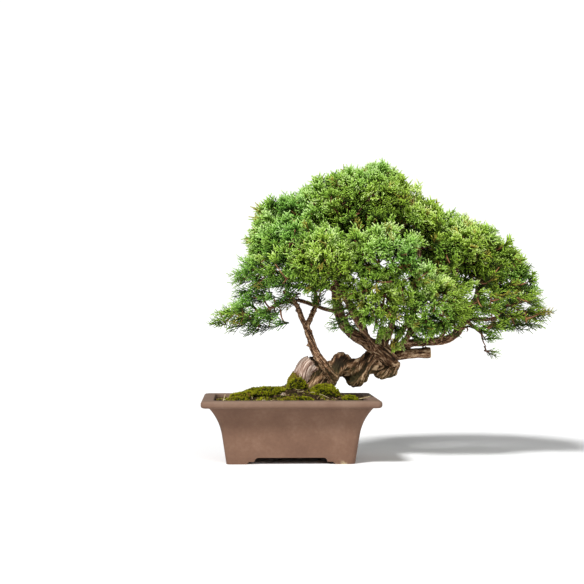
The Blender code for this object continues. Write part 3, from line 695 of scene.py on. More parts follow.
STUMP = [(-6, 3, -24, 12.5), (-3, 1, -8, 13.0), (0, 0, 6, 12.0), (4, -2, 20, 11.2), (10, -2, 33, 10.6)]
CROWN_OF_COIL = [(109, -9, 40, 9.2), (102, -10, 49, 9.0), (95, -7, 57, 8.6), (90, -4, 60, 8.0)]
LIMBS = {
    "shoulder": [(104, -6, 44, 8.2), (99, -7, 57, 7.8), (98, -7, 69, 6.2), (101, -8, 80, 4.4)],
    "leader": [
        (92, -4, 54, 7.8), (80, 2, 64, 7.5), (68, 6, 71, 7.0), (57, 8, 80, 6.5), (51, 8, 94, 5.9),
        (47, 6, 111, 5.5), (47, 4, 129, 5.2), (53, 2, 148, 4.8), (63, 0, 169, 4.2),
        (72, 0, 192, 3.6), (78, 0, 213, 3.0), (84, 0, 229, 2.3),
    ],
    "right_arm": [
        (100, 0, 44, 6.6), (116, -2, 56, 5.5), (133, -4, 62, 4.9), (152, -4, 63, 4.5),
        (169, -2, 65, 4.4), (183, 0, 71, 4.4), (194, 2, 86, 4.5), (203, 4, 102, 4.4),
        (210, 4, 116, 4.1), (213, 2, 135, 3.7), (210, 0, 155, 3.1), (203, 0, 172, 2.3),
    ],
    "buttress": [(4, 0, -12, 10.0), (12, -2, 2, 10.0), (19, -3, 12, 9.0), (27, -3, 22, 8.0)],
    "sawn_stub": [(101, 0, 43, 6.4), (117, -4, 48, 6.0), (133, -8, 50, 6.0), (154, -10, 51, 6.2)],
    "second_trunk": [
        (41, -12, 22, 6.2), (33, -19, 34, 5.4), (24, -20, 47, 4.8), (18, -19, 59, 4.5),
        (14, -19, 71, 4.0), (10, -20, 82, 3.8),
    ],
    "fork_left": [
        (11, -20, 79, 3.6), (5, -22, 91, 3.1), (1, -24, 102, 2.8), (-5, -25, 111, 2.5),
        (-16, -26, 122, 2.1),
    ],
    "fork_right": [
        (10, -20, 80, 3.4), (15, -18, 90, 3.0), (19, -15, 99, 2.8), (22, -12, 110, 2.5),
        (20, -12, 126, 2.1),
    ],
    "low_reach": [
        (49, 6, 98, 2.5), (33, -2, 101, 2.2), (15, -10, 107, 2.1), (-1, -18, 111, 2.0),
        (-20, -24, 107, 1.9), (-34, -28, 100, 1.9),
    ],
    "left_bough": [
        (47, 5, 121, 3.6), (29, -4, 131, 3.0), (10, -12, 141, 2.7), (-4, -16, 154, 2.4),
        (-14, -18, 168, 2.1),
    ],
    "left_low_bough": [(10, -12, 141, 2.5), (-8, -18, 140, 2.3), (-24, -22, 137, 2.0)],
    "upper_left_bough": [(56, 2, 155, 3.4), (42, 8, 174, 2.8), (28, 10, 192, 2.3)],
    "inner_bough": [
        (69, 0, 183, 3.2), (89, -8, 177, 2.8), (109, -12, 179, 2.6), (118, -10, 192, 2.4),
        (128, -4, 202, 2.1),
    ],
    "front_left_bough": [
        (90, -8, 56, 3.9), (81, -18, 68, 3.4), (71, -30, 81, 3.0), (60, -42, 98, 2.7),
        (48, -52, 120, 2.4), (36, -58, 138, 2.1),
    ],
    "front_bough": [
        (99, -2, 54, 3.8), (105, -6, 70, 3.3), (110, -12, 86, 3.0), (110, -26, 106, 2.7),
        (104, -42, 128, 2.4), (98, -54, 146, 2.1),
    ],
    "front_twig": [(109, -20, 97, 2.4), (102, -34, 101, 2.2), (94, -46, 106, 2.0)],
    "middle_bough": [
        (108, 0, 50, 3.9), (122, -6, 62, 3.5), (129, -10, 73, 3.2), (132, -10, 91, 3.0),
        (136, -6, 111, 2.8), (140, 0, 134, 2.6), (143, 4, 164, 2.4), (142, 6, 190, 2.1),
    ],
    "low_front_twig": [(128, -8, 70, 2.6), (136, -20, 80, 2.3), (143, -34, 92, 2.0)],
    "upright_twig": [
        (165, -4, 65, 2.6), (175, -10, 86, 2.3), (180, -12, 107, 2.1), (182, -10, 130, 2.0),
        (186, -6, 156, 1.9),
    ],
    "right_low_twig": [
        (197, 2, 91, 2.7), (212, -2, 89, 2.4), (228, -6, 90, 2.1), (240, -7, 95, 1.9),
    ],
    "right_bough": [(212, 2, 126, 2.9), (222, 4, 134, 2.5), (232, 6, 142, 2.1)],
    "drooping_twig": [(196, 2, 88, 2.2), (206, 1, 80, 2.0), (214, 0, 73, 1.9)],
    "back_left_bough": [
        (82, 4, 64, 4.0), (78, 24, 84, 3.5), (66, 42, 108, 3.0), (50, 56, 136, 2.5),
        (40, 64, 160, 2.1),
    ],
    "back_right_bough": [
        (110, 2, 56, 3.8), (122, 20, 72, 3.3), (140, 38, 96, 2.9), (156, 52, 126, 2.5),
        (163, 60, 152, 2.1),
    ],
    "back_top_bough": [(63, 0, 169, 3.1), (78, 20, 182, 2.7), (90, 42, 194, 2.1)],
    "root_front": [(-4, 2, -14, 7.0), (2, -18, -19, 4.6), (8, -34, -25, 3.0)],
    "root_left": [(-4, 2, -14, 7.2), (-26, 0, -20, 4.8), (-44, -6, -27, 3.0)],
    "root_back": [(-4, 2, -14, 6.8), (2, 22, -20, 4.4), (10, 38, -27, 3.0)],
    "root_right": [(-2, 2, -12, 6.4), (18, 8, -20, 4.4), (34, 10, -28, 3.0)],
}


def smooth_path(points, count=8):
    """Catmull-Rom points through (x, y, z, radius) points."""
    knots = [Vector(p) for p in points]
    knots = [2 * knots[0] - knots[1], *knots, 2 * knots[-1] - knots[-2]]
    made = []
    for a, b, c, d in zip(knots, knots[1:], knots[2:], knots[3:]):
        for i in range(count):
            t = i / count
            square, cube = 2 * a - 5 * b + 4 * c - d, 3 * b - a - 3 * c + d
            made.append(0.5 * (2 * b + (c - a) * t + square * t**2 + cube * t**3))
    return [*made, knots[-2]]


def coil_path():
    start_x, start_z = COIL_START
    path = []
    for i in range(int(COIL_TURNS * COIL_STEPS) + 1):
        turn = i / COIL_STEPS
        radius = COIL_RADIUS - COIL_TIGHTENING * turn
        angle = 2 * math.pi * turn
        rise = start_z + COIL_LIFT * turn**2
        thick = COIL_STRAND + SWELL * math.cos(angle * 2) - SWELL_LOSS * turn
        x, y, z = start_x + COIL_PITCH * turn, radius * math.sin(angle), rise + radius * math.cos(angle)
        path.append((x, y, z, thick))
    return path


def from_trunk_foot(path):
    """Tree points as numpy rows of x, y, z, radius in millimetres from the pot's centre."""
    return np.array([(*(TRUNK_FOOT + Vector(p[:3])), p[3]) for p in path])


coil = coil_path()
skeleton = {"stump": from_trunk_foot(smooth_path(STUMP + coil[:1])), "coil": from_trunk_foot(coil)}
skeleton["coil_crown"] = from_trunk_foot(smooth_path(coil[-1:] + CROWN_OF_COIL))
skeleton.update({name: from_trunk_foot(smooth_path(points)) for name, points in LIMBS.items()})
print(len(skeleton), "paths")

# %% Tubes


def lengths_along(path):
    """How far each point lies along its path."""
    return np.cumsum(np.r_[0, np.linalg.norm(np.diff(path[:, :3], axis=0), axis=1)])


def frames_along(path):
    """Unit tangent, side and up vectors at each point, turned as little as possible between points."""
    points = path[:, :3]
    tangents = np.gradient(points, axis=0)
    tangents /= np.linalg.norm(tangents, axis=1, keepdims=True) + 1e-12
    side = np.cross(tangents[0], (0.0, 0.0, 1.0))
    if np.linalg.norm(side) < 0.1:
        side = np.cross(tangents[0], (0.0, 1.0, 0.0))
    sides, ups = [], []
    for t in tangents:
        side = side - t * (side @ t)
        side /= np.linalg.norm(side) + 1e-12
        sides.append(side)
        ups.append(np.cross(t, side))
    return tangents, np.array(sides), np.array(ups)


def add_tube(points, faces, path, sides_count):
    """Adds a closed tube along rows of x, y, z, radius to lists of points and faces."""
    _, sides, ups = frames_along(path)
    start = len(points)
    for centre, side, up in zip(path, sides, ups):
        for k in range(sides_count):
            a = 2 * math.pi * k / sides_count
            points.append(centre[:3] + centre[3] * (math.cos(a) * side + math.sin(a) * up))
    for ring in range(len(path) - 1):
        a, b = start + ring * sides_count, start + (ring + 1) * sides_count
        for k in range(sides_count):
            after = (k + 1) % sides_count
            faces.append((a + k, a + after, b + after, b + k))
    faces.append(tuple(start + k for k in reversed(range(sides_count))))
    last = start + (len(path) - 1) * sides_count
    faces.append(tuple(last + k for k in range(sides_count)))


# %% [markdown]
# ## The wood
# All the wood grew as one piece, so it is one mesh: the tubes are fused by a voxel Remesh, which
# leaves soft collars where limbs meet. The corkscrew is a core with five thinner strands wound round it,
# which gives its turns their lobes. A few limbs get short spurs, where side twigs once grew.

# %% Fused tubes
WOOD_VOXEL = 0.92
HEART_RADIUS = 10.0
CORE_SHARE = 0.70
STRANDS = 5
STRAND_ANGLE, STRAND_TWIST, STRAND_OFFSET, STRAND_THICKNESS = 1.26, 0.03, 0.70, 0.38
SPURRED = (
    "second_trunk", "fork_left", "fork_right", "leader", "right_arm", "middle_bough", "front_bough",
)
dice = random.Random(7)
wood_points, wood_faces = [], []


def ridge_along(path, start_angle):
    """A thinner path wound round another one, as rows of x, y, z, radius."""
    _, sides, ups = frames_along(path)
    along = lengths_along(path)
    angle = start_angle + along * STRAND_TWIST + 0.5 * np.sin(along * 0.07 + start_angle * 3)
    out = np.cos(angle)[:, None] * sides + np.sin(angle)[:, None] * ups
    made = path.copy()
    made[:, :3] += out * (path[:, 3:] * STRAND_OFFSET)
    made[:, 3] = path[:, 3] * STRAND_THICKNESS * (1.0 + 0.2 * np.sin(along * 0.19 + start_angle * 5))
    return made


def add_spur(path, row, tangents, sides, ups):
    """A stump of a lost side twig, leaning a little forwards."""
    a = dice.uniform(0, 2 * math.pi)
    out = math.cos(a) * sides[row] + math.sin(a) * ups[row] + 0.5 * tangents[row]
    start, reach = path[row, :3], path[row, 3] + dice.uniform(0.6, 1.9)
    spur = np.array([[*(start + out * 0.4 * reach), 1.2], [*(start + out * reach), 0.75]])
    add_tube(wood_points, wood_faces, spur, 6)


heart = []
for x in range(16, 112, 6):
    centre = TRUNK_FOOT + Vector((x, 1.0, 30.5 + 9.0 * (x / 110) ** 2))
    heart.append((*centre, HEART_RADIUS))
add_tube(wood_points, wood_faces, np.array(heart), 12)
for name in ("coil", "coil_crown"):
    for strand in range(STRANDS):
        add_tube(wood_points, wood_faces, ridge_along(skeleton[name], STRAND_ANGLE * strand), 10)
    core = skeleton[name].copy()
    core[:, 3] *= CORE_SHARE
    add_tube(wood_points, wood_faces, core, 14)

for name, path in skeleton.items():
    if name in ("coil", "coil_crown"):
        continue
    knobbly = path.copy()
    for row, along in enumerate(lengths_along(path)):
        knobbly[row, 3] *= 1.0 + 0.16 * noise.noise(Vector((along * 0.11, len(name), 0.3)))
    add_tube(wood_points, wood_faces, knobbly, 14)
    if name in SPURRED:
        turned = frames_along(path)
        for _ in range(int(len(path) * 0.55)):
            add_spur(path, dice.randrange(1, len(path) - 1), *turned)
wood = object_from_points("bark_and_dead_wood", wood_points, wood_faces)
fuse = wood.modifiers.new("fuse", "REMESH")
fuse.mode = "VOXEL"
fuse.voxel_size = WOOD_VOXEL * MM
bake(wood)
print("fused wood:", len(wood.data.vertices), "points")

# %% [markdown]
# ## Carving the bark
# Juniper bark is a skin of long fibres that peels in strips.
# To carve it, each point of the skin is told where it lies on its limb: how far along, and which way
# round. Noise that is long along the limb and short round it then moves the point in or out.
# The same coordinates are stored on the mesh, so that the bark's colours follow its furrows. Three
# more masks tell the material where the stump is bare, where the corkscrew closes into hollows that get
# a painted shade, and how far out a point lies on the stub's sawn face.

# %% Where each point lies
samples, owners = [], []
for name, path in skeleton.items():
    tangents, sides, ups = frames_along(path)
    along = lengths_along(path)
    for row in range(len(path)):
        samples.append((path[row, :3], tangents[row], sides[row], ups[row], along[row], path[row, 3]))
        owners.append(name)
finder = KDTree(len(samples))
for number, sample in enumerate(samples):
    finder.insert(sample[0], number)
finder.balance()


def bark_place(point):
    """(limb, how far along, angle round it, share of its radius) of a point in millimetres."""
    found = min(finder.find_n(point, 4), key=lambda f: f[2] - 0.8 * samples[f[1]][5])
    centre, tangent, side, up, along, _ = samples[found[1]]
    away = np.array(point) - centre
    share = found[2] / samples[found[1]][5]
    return owners[found[1]], along + away @ tangent, math.atan2(away @ up, away @ side), share


print(len(samples), "places on", len(skeleton), "limbs")

# %% Carved wood
RUGGED = {
    "coil": 1.7, "coil_crown": 1.7, "stump": 0.6, "sawn_stub": 0.3, "leader": 0.9, "second_trunk": 0.9,
}
RUGGED_ELSEWHERE = 0.62
ALONG_SCALE = 0.035
BARE_ABOVE = 76.0
SAWN_FACE = 0.7
STUMP_END = 24.0

count = len(wood.data.vertices)
co = np.zeros(count * 3)
wood.data.vertices.foreach_get("co", co)
co = (co.reshape(-1, 3) - np.array(POT_CENTRE)) / MM
normals = np.zeros(count * 3)
wood.data.vertices.foreach_get("normal", normals)
normals = normals.reshape(-1, 3)
bark_co = np.zeros((count, 3))
furrow, bare, recess_shade, sawn = np.zeros((4, count))
stump_skin = [False] * count
stub_end = skeleton["sawn_stub"][-1, :3]
stub_way = Vector(stub_end - skeleton["sawn_stub"][-3, :3]).normalized()
for i in range(count):
    name, along, angle, share = bark_place(co[i])
    offset = 17.0 * (sum(map(ord, name)) % 13)
    twist = along * (0.035 if name == "coil" else 0.02)
    ring = Vector((math.cos(angle + twist), math.sin(angle + twist), 0.0))
    rugged = RUGGED.get(name, RUGGED_ELSEWHERE)
    wide = noise.noise(ring * 2.1 + Vector((0, 0, along * ALONG_SCALE + offset)))
    fibre = 1.0 - abs(noise.noise(ring * 5.2 + Vector((0, 0, along * 0.06 + offset)))) * 2.2
    fine = noise.noise(ring * 13.0 + Vector((0, 0, along * 0.22 - offset)))
    chips = noise.noise(Vector(co[i]) * 0.33)
    depth = rugged * (1.1 * wide + 0.75 * (fibre - 0.55) + 0.35 * fine + 0.35 * chips)
    furrow[i] = fibre * 0.6 + 0.4 * fine + 0.2 * wide
    bark_co[i] = (ring.x, ring.y, along * ALONG_SCALE + offset)
    stump_skin[i] = name in ("stump", "buttress") and co[i][0] < STUMP_END
    bare[i] = 1.0 if name == "stump" and co[i][2] > BARE_ABOVE else 0.0
    # painted shade: marks points sunk between the corkscrew's strands, so that the material darkens them
    recess_shade[i] = min(1.0, max(0.0, (0.95 - share) / 0.3)) if name == "coil" else 0.0
    if name == "sawn_stub" and Vector(co[i] - stub_end) @ stub_way > -SAWN_FACE:
        sawn[i] = 0.2 + share
        depth = 0.0
    co[i] += normals[i] * depth
wood.data.vertices.foreach_set("co", ((co * MM) + np.array(POT_CENTRE)).ravel())
for label, values in (("furrow", furrow), ("bare_wood", bare), ("recess_shade", recess_shade), ("sawn", sawn)):
    store(wood.data, label, values)
store(wood.data, "bark_place", bark_co.ravel(), "FLOAT_VECTOR", "vector")
wood.data.update()
print("bare wood on", int(bare.sum()), "points, sawn face on", int((sawn > 0).sum()))

# %% [markdown]
# ## Bark and dead wood
# The furrows are nearly black and the ridges a greyish red brown, and the hollows of the corkscrew are
# darkened to nearly black with painted shade. A little green algae grows on the damp lower parts. The stump
# has lost its bark: it is bleached grey with pinkish streaks and thin dark cracks along the grain. The stub's
# sawn face shows year rings, made by a sine of the distance from its middle. One material holds all of this
# and mixes it by the mesh's own masks.

# %% Bark finish
ALGAE_TOP, ALGAE_FULL = 115.0, 85.0


def squash(tree, vector, share):
    """Shortens a vector's third number, which draws a noise out along the limb."""
    values = {0: vector, 1: (1.0, 1.0, share)}
    return node(tree, "ShaderNodeVectorMath", values, operation="MULTIPLY").outputs[0]


bark, tree, shader, where = new_finish("juniper_bark", 0.88)
shader.inputs["Specular IOR Level"].default_value = 0.2
limb_place = attribute(tree, "bark_place", "Vector")
strips = noise_value(tree, squash(tree, limb_place, 0.5), 9.0, 6.0, Roughness=0.62)
mixed = plus(tree, times(tree, attribute(tree, "furrow"), 0.7), times(tree, strips, 0.85))
# painted shade: points in the corkscrew's hollows are pulled down the ramp towards black
mixed = math_node(tree, "SUBTRACT", mixed, times(tree, attribute(tree, "recess_shade"), 0.42))
bark_colours = [
    (0.42, (0.004, 0.0015, 0.0005)), (0.56, (0.050, 0.019, 0.008)), (0.72, (0.19, 0.095, 0.048)),
    (0.92, (0.60, 0.42, 0.26)),
]
bark_colour = ramp(tree, mixed, bark_colours)
clouds = place_group(tree, MOTTLE, where, coarse_scale=60.0, fine_scale=420.0, fine_share=0.35)
bark_colour = blend_colour(tree, times(tree, clouds, 0.2), bark_colour, (0.16, 0.10, 0.05))
height = node(tree, "ShaderNodeSeparateXYZ", {"Vector": where}).outputs["Z"]
low_down = stretch(tree, height, ALGAE_TOP * MM, ALGAE_FULL * MM)
algae = math_node(tree, "MULTIPLY", low_down, times(tree, clouds, 0.6), clamp=True)
bark_colour = blend_colour(tree, algae, bark_colour, (0.10, 0.10, 0.028))
streaks = noise_value(tree, squash(tree, limb_place, 0.22), 6.0, 6.0, Distortion=0.4)
dead_colours = [
    (0.40, (0.06, 0.025, 0.016)), (0.48, (0.30, 0.19, 0.14)), (0.57, (0.58, 0.45, 0.37)),
    (0.74, (0.76, 0.65, 0.56)),
]
dead_colour = ramp(tree, streaks, dead_colours)
wood_colour = blend_colour(tree, attribute(tree, "bare_wood"), bark_colour, dead_colour)
cut_face = attribute(tree, "sawn")
year_rings = math_node(tree, "SINE", times(tree, cut_face, 30.0))
ring_colour = ramp(tree, year_rings, [(0.0, (0.52, 0.38, 0.22)), (1.0, (0.34, 0.22, 0.11))])
on_cut = stretch(tree, cut_face, 0.1, 0.2)
paint(tree, shader, blend_colour(tree, on_cut, wood_colour, ring_colour))
rough = plus(tree, strips, place_group(tree, GRAIN, where, scale=1400.0, pits=0.2))
bump(tree, shader, rough, 0.55, 0.5)
hand_over(wood, bark, ["trunk_and_limbs"], smooth_degrees=180.0)

# %% [markdown]
# ## Foliage: one spray
# Juniper foliage is made of cords: thin green stems covered in tiny scales, which fork again and again
# into fans. A cord is about 1.4 mm thick. One spray here is a stem with side cords on both flanks, each a
# three-sided tube with a blunt tip, so a spray has only a few dozen faces. Five short sprays
# and three long thin ones are enough, because each copy is turned, sized and coloured differently.

# %% Sprays
SHORT_SPRAYS = 5
LONG_SPRAYS = 3
CORD_RADIUS = 0.8
# length, cord radius, side cords, their length, forks
SHORT_SPRAY = (12.0, CORD_RADIUS, 6, 6.6, 3)
LONG_SPRAY = (21.0, CORD_RADIUS * 0.72, 8, 8.0, 4)


def add_cord(points, faces, tips, start, end, radius, from_tip, to_tip, middle=None):
    """A three-sided cord with a blunt tip; `middle` bends it."""
    path = [(*start, radius * 0.8), (*end, radius * 0.66)]
    shades = [from_tip, to_tip]
    if middle is not None:
        path.insert(1, (*middle, radius))
        shades.insert(1, (from_tip + to_tip) / 2)
    add_tube(points, faces, np.array(path), 3)
    tips.extend(shade for shade in shades for _ in range(3))


def spray_mesh(name, seed, length, cord_radius, side_cords, side_length, forks):
    """A fan of cords along +Z, in metres, which stores how near to a tip each point is."""
    cast = random.Random(seed)
    points, faces, tips = [], [], []
    start = Vector((0, 0, -1.5))
    lean = Vector((cast.uniform(-0.25, 0.25), cast.uniform(-0.15, 0.15), 0)) * length
    middle = start + Vector((0, 0, length * 0.55)) + lean * 0.2
    end = start + Vector((0, 0, length)) + lean
    add_cord(points, faces, tips, start, end, cord_radius, 0.0, 0.85, middle)
    for number in range(side_cords):
        share = 0.14 + 0.78 * number / (side_cords - 1)
        if share < 0.55:
            root = start.lerp(middle, share / 0.55)
        else:
            root = middle.lerp(end, (share - 0.55) / 0.45)
        flank = 1 if number % 2 else -1
        out = Vector((flank, cast.uniform(-0.8, 0.8), cast.uniform(0.8, 1.5))).normalized()
        reach = side_length * (1.15 - 0.55 * share) * cast.uniform(0.8, 1.2)
        tip = root + out * reach + Vector((0, 0, reach * 0.22))
        add_cord(points, faces, tips, root, tip, cord_radius, share * 0.6, 0.75 + 0.25 * share)
        if number < forks:
            aside = cast.choice((-1, 1)) * cast.uniform(0.5, 0.9)
            fork_out = Vector((flank * 0.3, aside, 1.0)).normalized()
            fork = root.lerp(tip, 0.5)
            fork_tip = fork + fork_out * reach * 0.6
            add_cord(points, faces, tips, fork, fork_tip, cord_radius * 0.95, 0.45, 0.9)
    mesh = bpy.data.meshes.new(name)
    mesh.from_pydata([tuple(c * MM for c in p) for p in points], [], faces)
    store(mesh, "tip", tips)
    mesh.shade_smooth()
    return mesh


spray_collection = bpy.data.collections.new("sprays")
bpy.context.scene.collection.children.link(spray_collection)
for number in range(SHORT_SPRAYS + LONG_SPRAYS):
    name = f"spray_{number}"
    mesh = spray_mesh(name, 40 + number, *(SHORT_SPRAY if number < SHORT_SPRAYS else LONG_SPRAY))
    spray_collection.objects.link(bpy.data.objects.new(name, mesh))
    print(name, len(mesh.polygons), "faces")

# %% [markdown]
# ## Foliage: where the sprays grow
# Foliage grows at the outside of each pad, where the light is. For each pad, tuft places are dealt over
# the CAD pad's skin, not too close to each other, and thinned out where another pad covers them.
# Fine twigs then join every tuft to the nearest wood or to a nearer tuft, as a tree would, so each green
# tuft hangs on real wood. Every tuft carries a handful of sprays that fan outwards and a little upwards.

# %% Tufts
TUFT_SPACING = 11.5
TUFT_DEPTH = 10.5
FILLER_SPACING = 14.0
FILLER_TRIES = 26000
FRINGE_TOP, FRINGE_DEPTH = 205, 42
AIRY_PADS = ("foliage_low_reach", "foliage_drooping_tip", "foliage_right_low", "foliage_left_low")
PADS = sorted(name for name in frame["nodes"] if name.startswith("foliage_"))


def in_mm(point):
    return (Vector(point) - POT_CENTRE) / MM


def pad_shape(name):
    """Centre and half sizes of a pad in millimetres."""
    low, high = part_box(name)
    return in_mm((low + high) / 2), (high - low) / 2 / MM


def depth_in(point, shape):
    """0 at a pad's centre and 1 at its skin."""
    centre, half = shape
    return math.sqrt(sum(((p - c) / h) ** 2 for p, c, h in zip(point, centre, half)))


shapes = {name: pad_shape(name) for name in PADS}
crown_centre = sum((shape[0] for shape in shapes.values()), Vector()) / len(shapes)

# x, z and half sizes of the openings in the front of the crown through which limbs show
WINDOWS = [
    (128, 262, 12, 13), (187, 216, 5, 12), (50, 198, 9, 12), (127, 178, 5, 9), (90, 253, 9, 10),
    (140, 284, 7, 6),
]
WINDOW_BACK = 12.0
# the crown's outline from the front, as x and z
CROWN_OUTLINE = [
    (-90, 158), (-87, 174), (-66, 193), (-47, 195), (-65, 204), (-69, 216), (-67, 229), (-47, 235),
    (-53, 264), (-44, 287), (-24, 302), (13, 317), (47, 330), (73, 334), (101, 345), (115, 345),
    (131, 329), (145, 311), (167, 299), (200, 284), (235, 263), (253, 248), (273, 234), (281, 204),
    (292, 183), (293, 160), (267, 147), (244, 153), (239, 114), (223, 123), (219, 149), (175, 144),
    (142, 133), (128, 112), (105, 126), (84, 149), (59, 142), (34, 144), (43, 174), (13, 181),
    (-3, 170), (1, 149), (-31, 128), (-61, 133),
]


def in_outline(point):
    """Whether a point, seen from the front, is inside the crown's outline."""
    inside = False
    for (x1, z1), (x2, z2) in zip(CROWN_OUTLINE, CROWN_OUTLINE[1:] + CROWN_OUTLINE[:1]):
        if (z1 > point.z) != (z2 > point.z) and point.x < x1 + (point.z - z1) / (z2 - z1) * (x2 - x1):
            inside = not inside
    return inside


def in_window(place):
    if place.y >= WINDOW_BACK:
        return False
    return any(((place.x - x) / a) ** 2 + ((place.z - z) / b) ** 2 < 1 for x, z, a, b in WINDOWS)


def triangles_of(name):
    """The corners, in millimetres, and the areas of a CAD node's triangles."""
    mesh = frame["nodes"][name].data
    mesh.calc_loop_triangles()
    corners = [tuple(in_mm(mesh.vertices[v].co) for v in t.vertices) for t in mesh.loop_triangles]
    return corners, [t.area for t in mesh.loop_triangles]


def somewhere_on(a, b, c, cast):
    """A random point on a triangle."""
    u, v = cast.random(), cast.random()
    if u + v > 1:
        u, v = 1 - u, 1 - v
    return a + (b - a) * u + (c - a) * v


def deal_tufts(name, spacing, cast):
    """(place, direction, shade) of each tuft on the skin of a pad."""
    triangles, areas = triangles_of(name)
    others = [shape for other, shape in shapes.items() if other != name]
    kept, near = [], []
    for a, b, c in cast.choices(triangles, areas, k=int(sum(areas) / MM**2 / spacing**2 * 14)):
        skin = somewhere_on(a, b, c, cast)
        normal = (b - a).cross(c - a).normalized()
        if in_window(skin) or any(depth_in(skin, s) < 0.8 for s in others):
            continue
        if normal.z < -0.4 and cast.random() < 0.35:
            continue
        if any((skin - k).length < spacing for k in near):
            continue
        near.append(skin)
        outward = (skin - crown_centre).normalized()
        aim = (normal * 0.8 + outward * 0.35 + Vector((0, 0, 0.5))).normalized()
        place = skin - normal * TUFT_DEPTH * cast.uniform(0.6, 1.5)
        if in_outline(place + aim * 9.0):
            # painted light: tufts on upward-facing skin get a higher shade value and come out lighter, and
            # downward-facing ones come out darker
            kept.append((place, aim, 0.1 * normal.z))
    return kept


def fill_between(spacing, cast):
    """Tufts in the gaps between neighbouring pads, for the pad that each is nearest to."""
    low = Vector([min(s[0][i] - s[1][i] for s in shapes.values()) for i in range(3)])
    high = Vector([max(s[0][i] + s[1][i] for s in shapes.values()) for i in range(3)])
    made, near = {name: [] for name in PADS}, []
    for _ in range(FILLER_TRIES):
        place = Vector([cast.uniform(a, b) for a, b in zip(low, high)])
        ranked = sorted((depth_in(place, shape), name) for name, shape in shapes.items())
        between = 0.86 < ranked[0][0] < 1.3 and ranked[1][0] < 1.42
        below = place.z < FRINGE_TOP and abs(place.y + 8) < FRINGE_DEPTH
        fringe = below and 0.95 < ranked[0][0] < 1.6 and cast.random() < 0.5
        if not (between or fringe) or not in_outline(place):
            continue
        if in_window(place) or any((place - k).length < spacing for k in near):
            continue
        near.append(place)
        aim = ((place - crown_centre).normalized() + Vector((0, 0, 0.6))).normalized()
        if not in_outline(place + aim * 8.0):
            continue
        # painted shade: tufts in the gaps between pads get a lower shade value, so they come out darker
        made[ranked[0][1]].append((place, aim, -0.1))
    return made


cast = random.Random(5)
fillers = fill_between(FILLER_SPACING, cast)
tufts = {}
for number, name in enumerate(PADS):
    spacing = TUFT_SPACING * (1.3 if name in AIRY_PADS else 1.0)
    tufts[name] = deal_tufts(name, spacing, random.Random(100 + number)) + fillers[name]
print(sum(map(len, tufts.values())), "tufts, of which", sum(map(len, fillers.values())), "between pads")

# %% [markdown]
# ## Foliage: twigs to carry it
# Every tuft has to hang on wood. Starting with the tuft nearest to a limb, each is joined by a fine
# twig to the nearest wood or to a tuft joined before it, which grows a tree as a real crown does.
# Compact tufts carry short sprays in a dome. At the low edges, where the light is poor, the shoots
# are long and thin instead, and hang over.

# %% Twigs
TWIGLESS = ("root", "stump", "coil", "sawn")
twig_points, twig_faces = [], []
wood_anchors = [s[0] for s, owner in zip(samples, owners) if not owner.startswith(TWIGLESS)]
anchor_tree = KDTree(len(wood_anchors))
for number, place in enumerate(wood_anchors):
    anchor_tree.insert(place, number)
anchor_tree.balance()


def grow_twigs(places, cast):
    """Joins each tuft to the nearest wood or to a twig grown before it."""
    grown = []
    for place, aim, _ in sorted(places, key=lambda t: anchor_tree.find(t[0])[2]):
        anchor, _, cost = anchor_tree.find(place)
        best = anchor
        for other in grown:
            reach = (place - other).length + 4.0
            if reach < cost:
                best, cost = other, reach
        bow = Vector((cast.uniform(-1, 1), cast.uniform(-1, 1), cast.uniform(-1.5, 0.5))) * cost * 0.09
        path = []
        for t in steps(0.0, 1.0, 4):
            p = best.lerp(place + aim * 2.0, t) + bow * math.sin(math.pi * t)
            path.append((*p, 1.15 - 0.55 * t))
        add_tube(twig_points, twig_faces, np.array(path), 4)
        if cost > 16.0:
            grown.append(best.lerp(place, 0.5) + bow)
        grown.append(place)


# %% Spray places
SPRAYS_EACH = 7
LONG_SPRAYS_EACH = 4
LOW_EDGE, LOWEST_EDGE = 222, 192
# short leafy sprigs straight from the old wood: place, direction, size
SPRIGS = (
    ((58, -6, 152), (-1.0, -0.3, -0.12), 0.75), ((74, -10, 158), (0.4, -0.5, -0.8), 0.6),
    ((104, -18, 147), (-0.15, -0.4, -1.0), 0.7), ((128, -20, 146), (0.0, -0.3, -1.0), 0.95),
    ((118, -20, 152), (-0.4, -0.5, -0.7), 0.8), ((136, -22, 150), (0.3, -0.5, -0.6), 0.7),
)


def long_direction(place, direction):
    """Bends a direction outwards from the crown and a little down."""
    sideways = Vector((place.x - crown_centre.x, place.y - crown_centre.y, 0)).normalized()
    return (direction * 0.8 + sideways * 0.7 + Vector((0, 0, -0.25))).normalized()


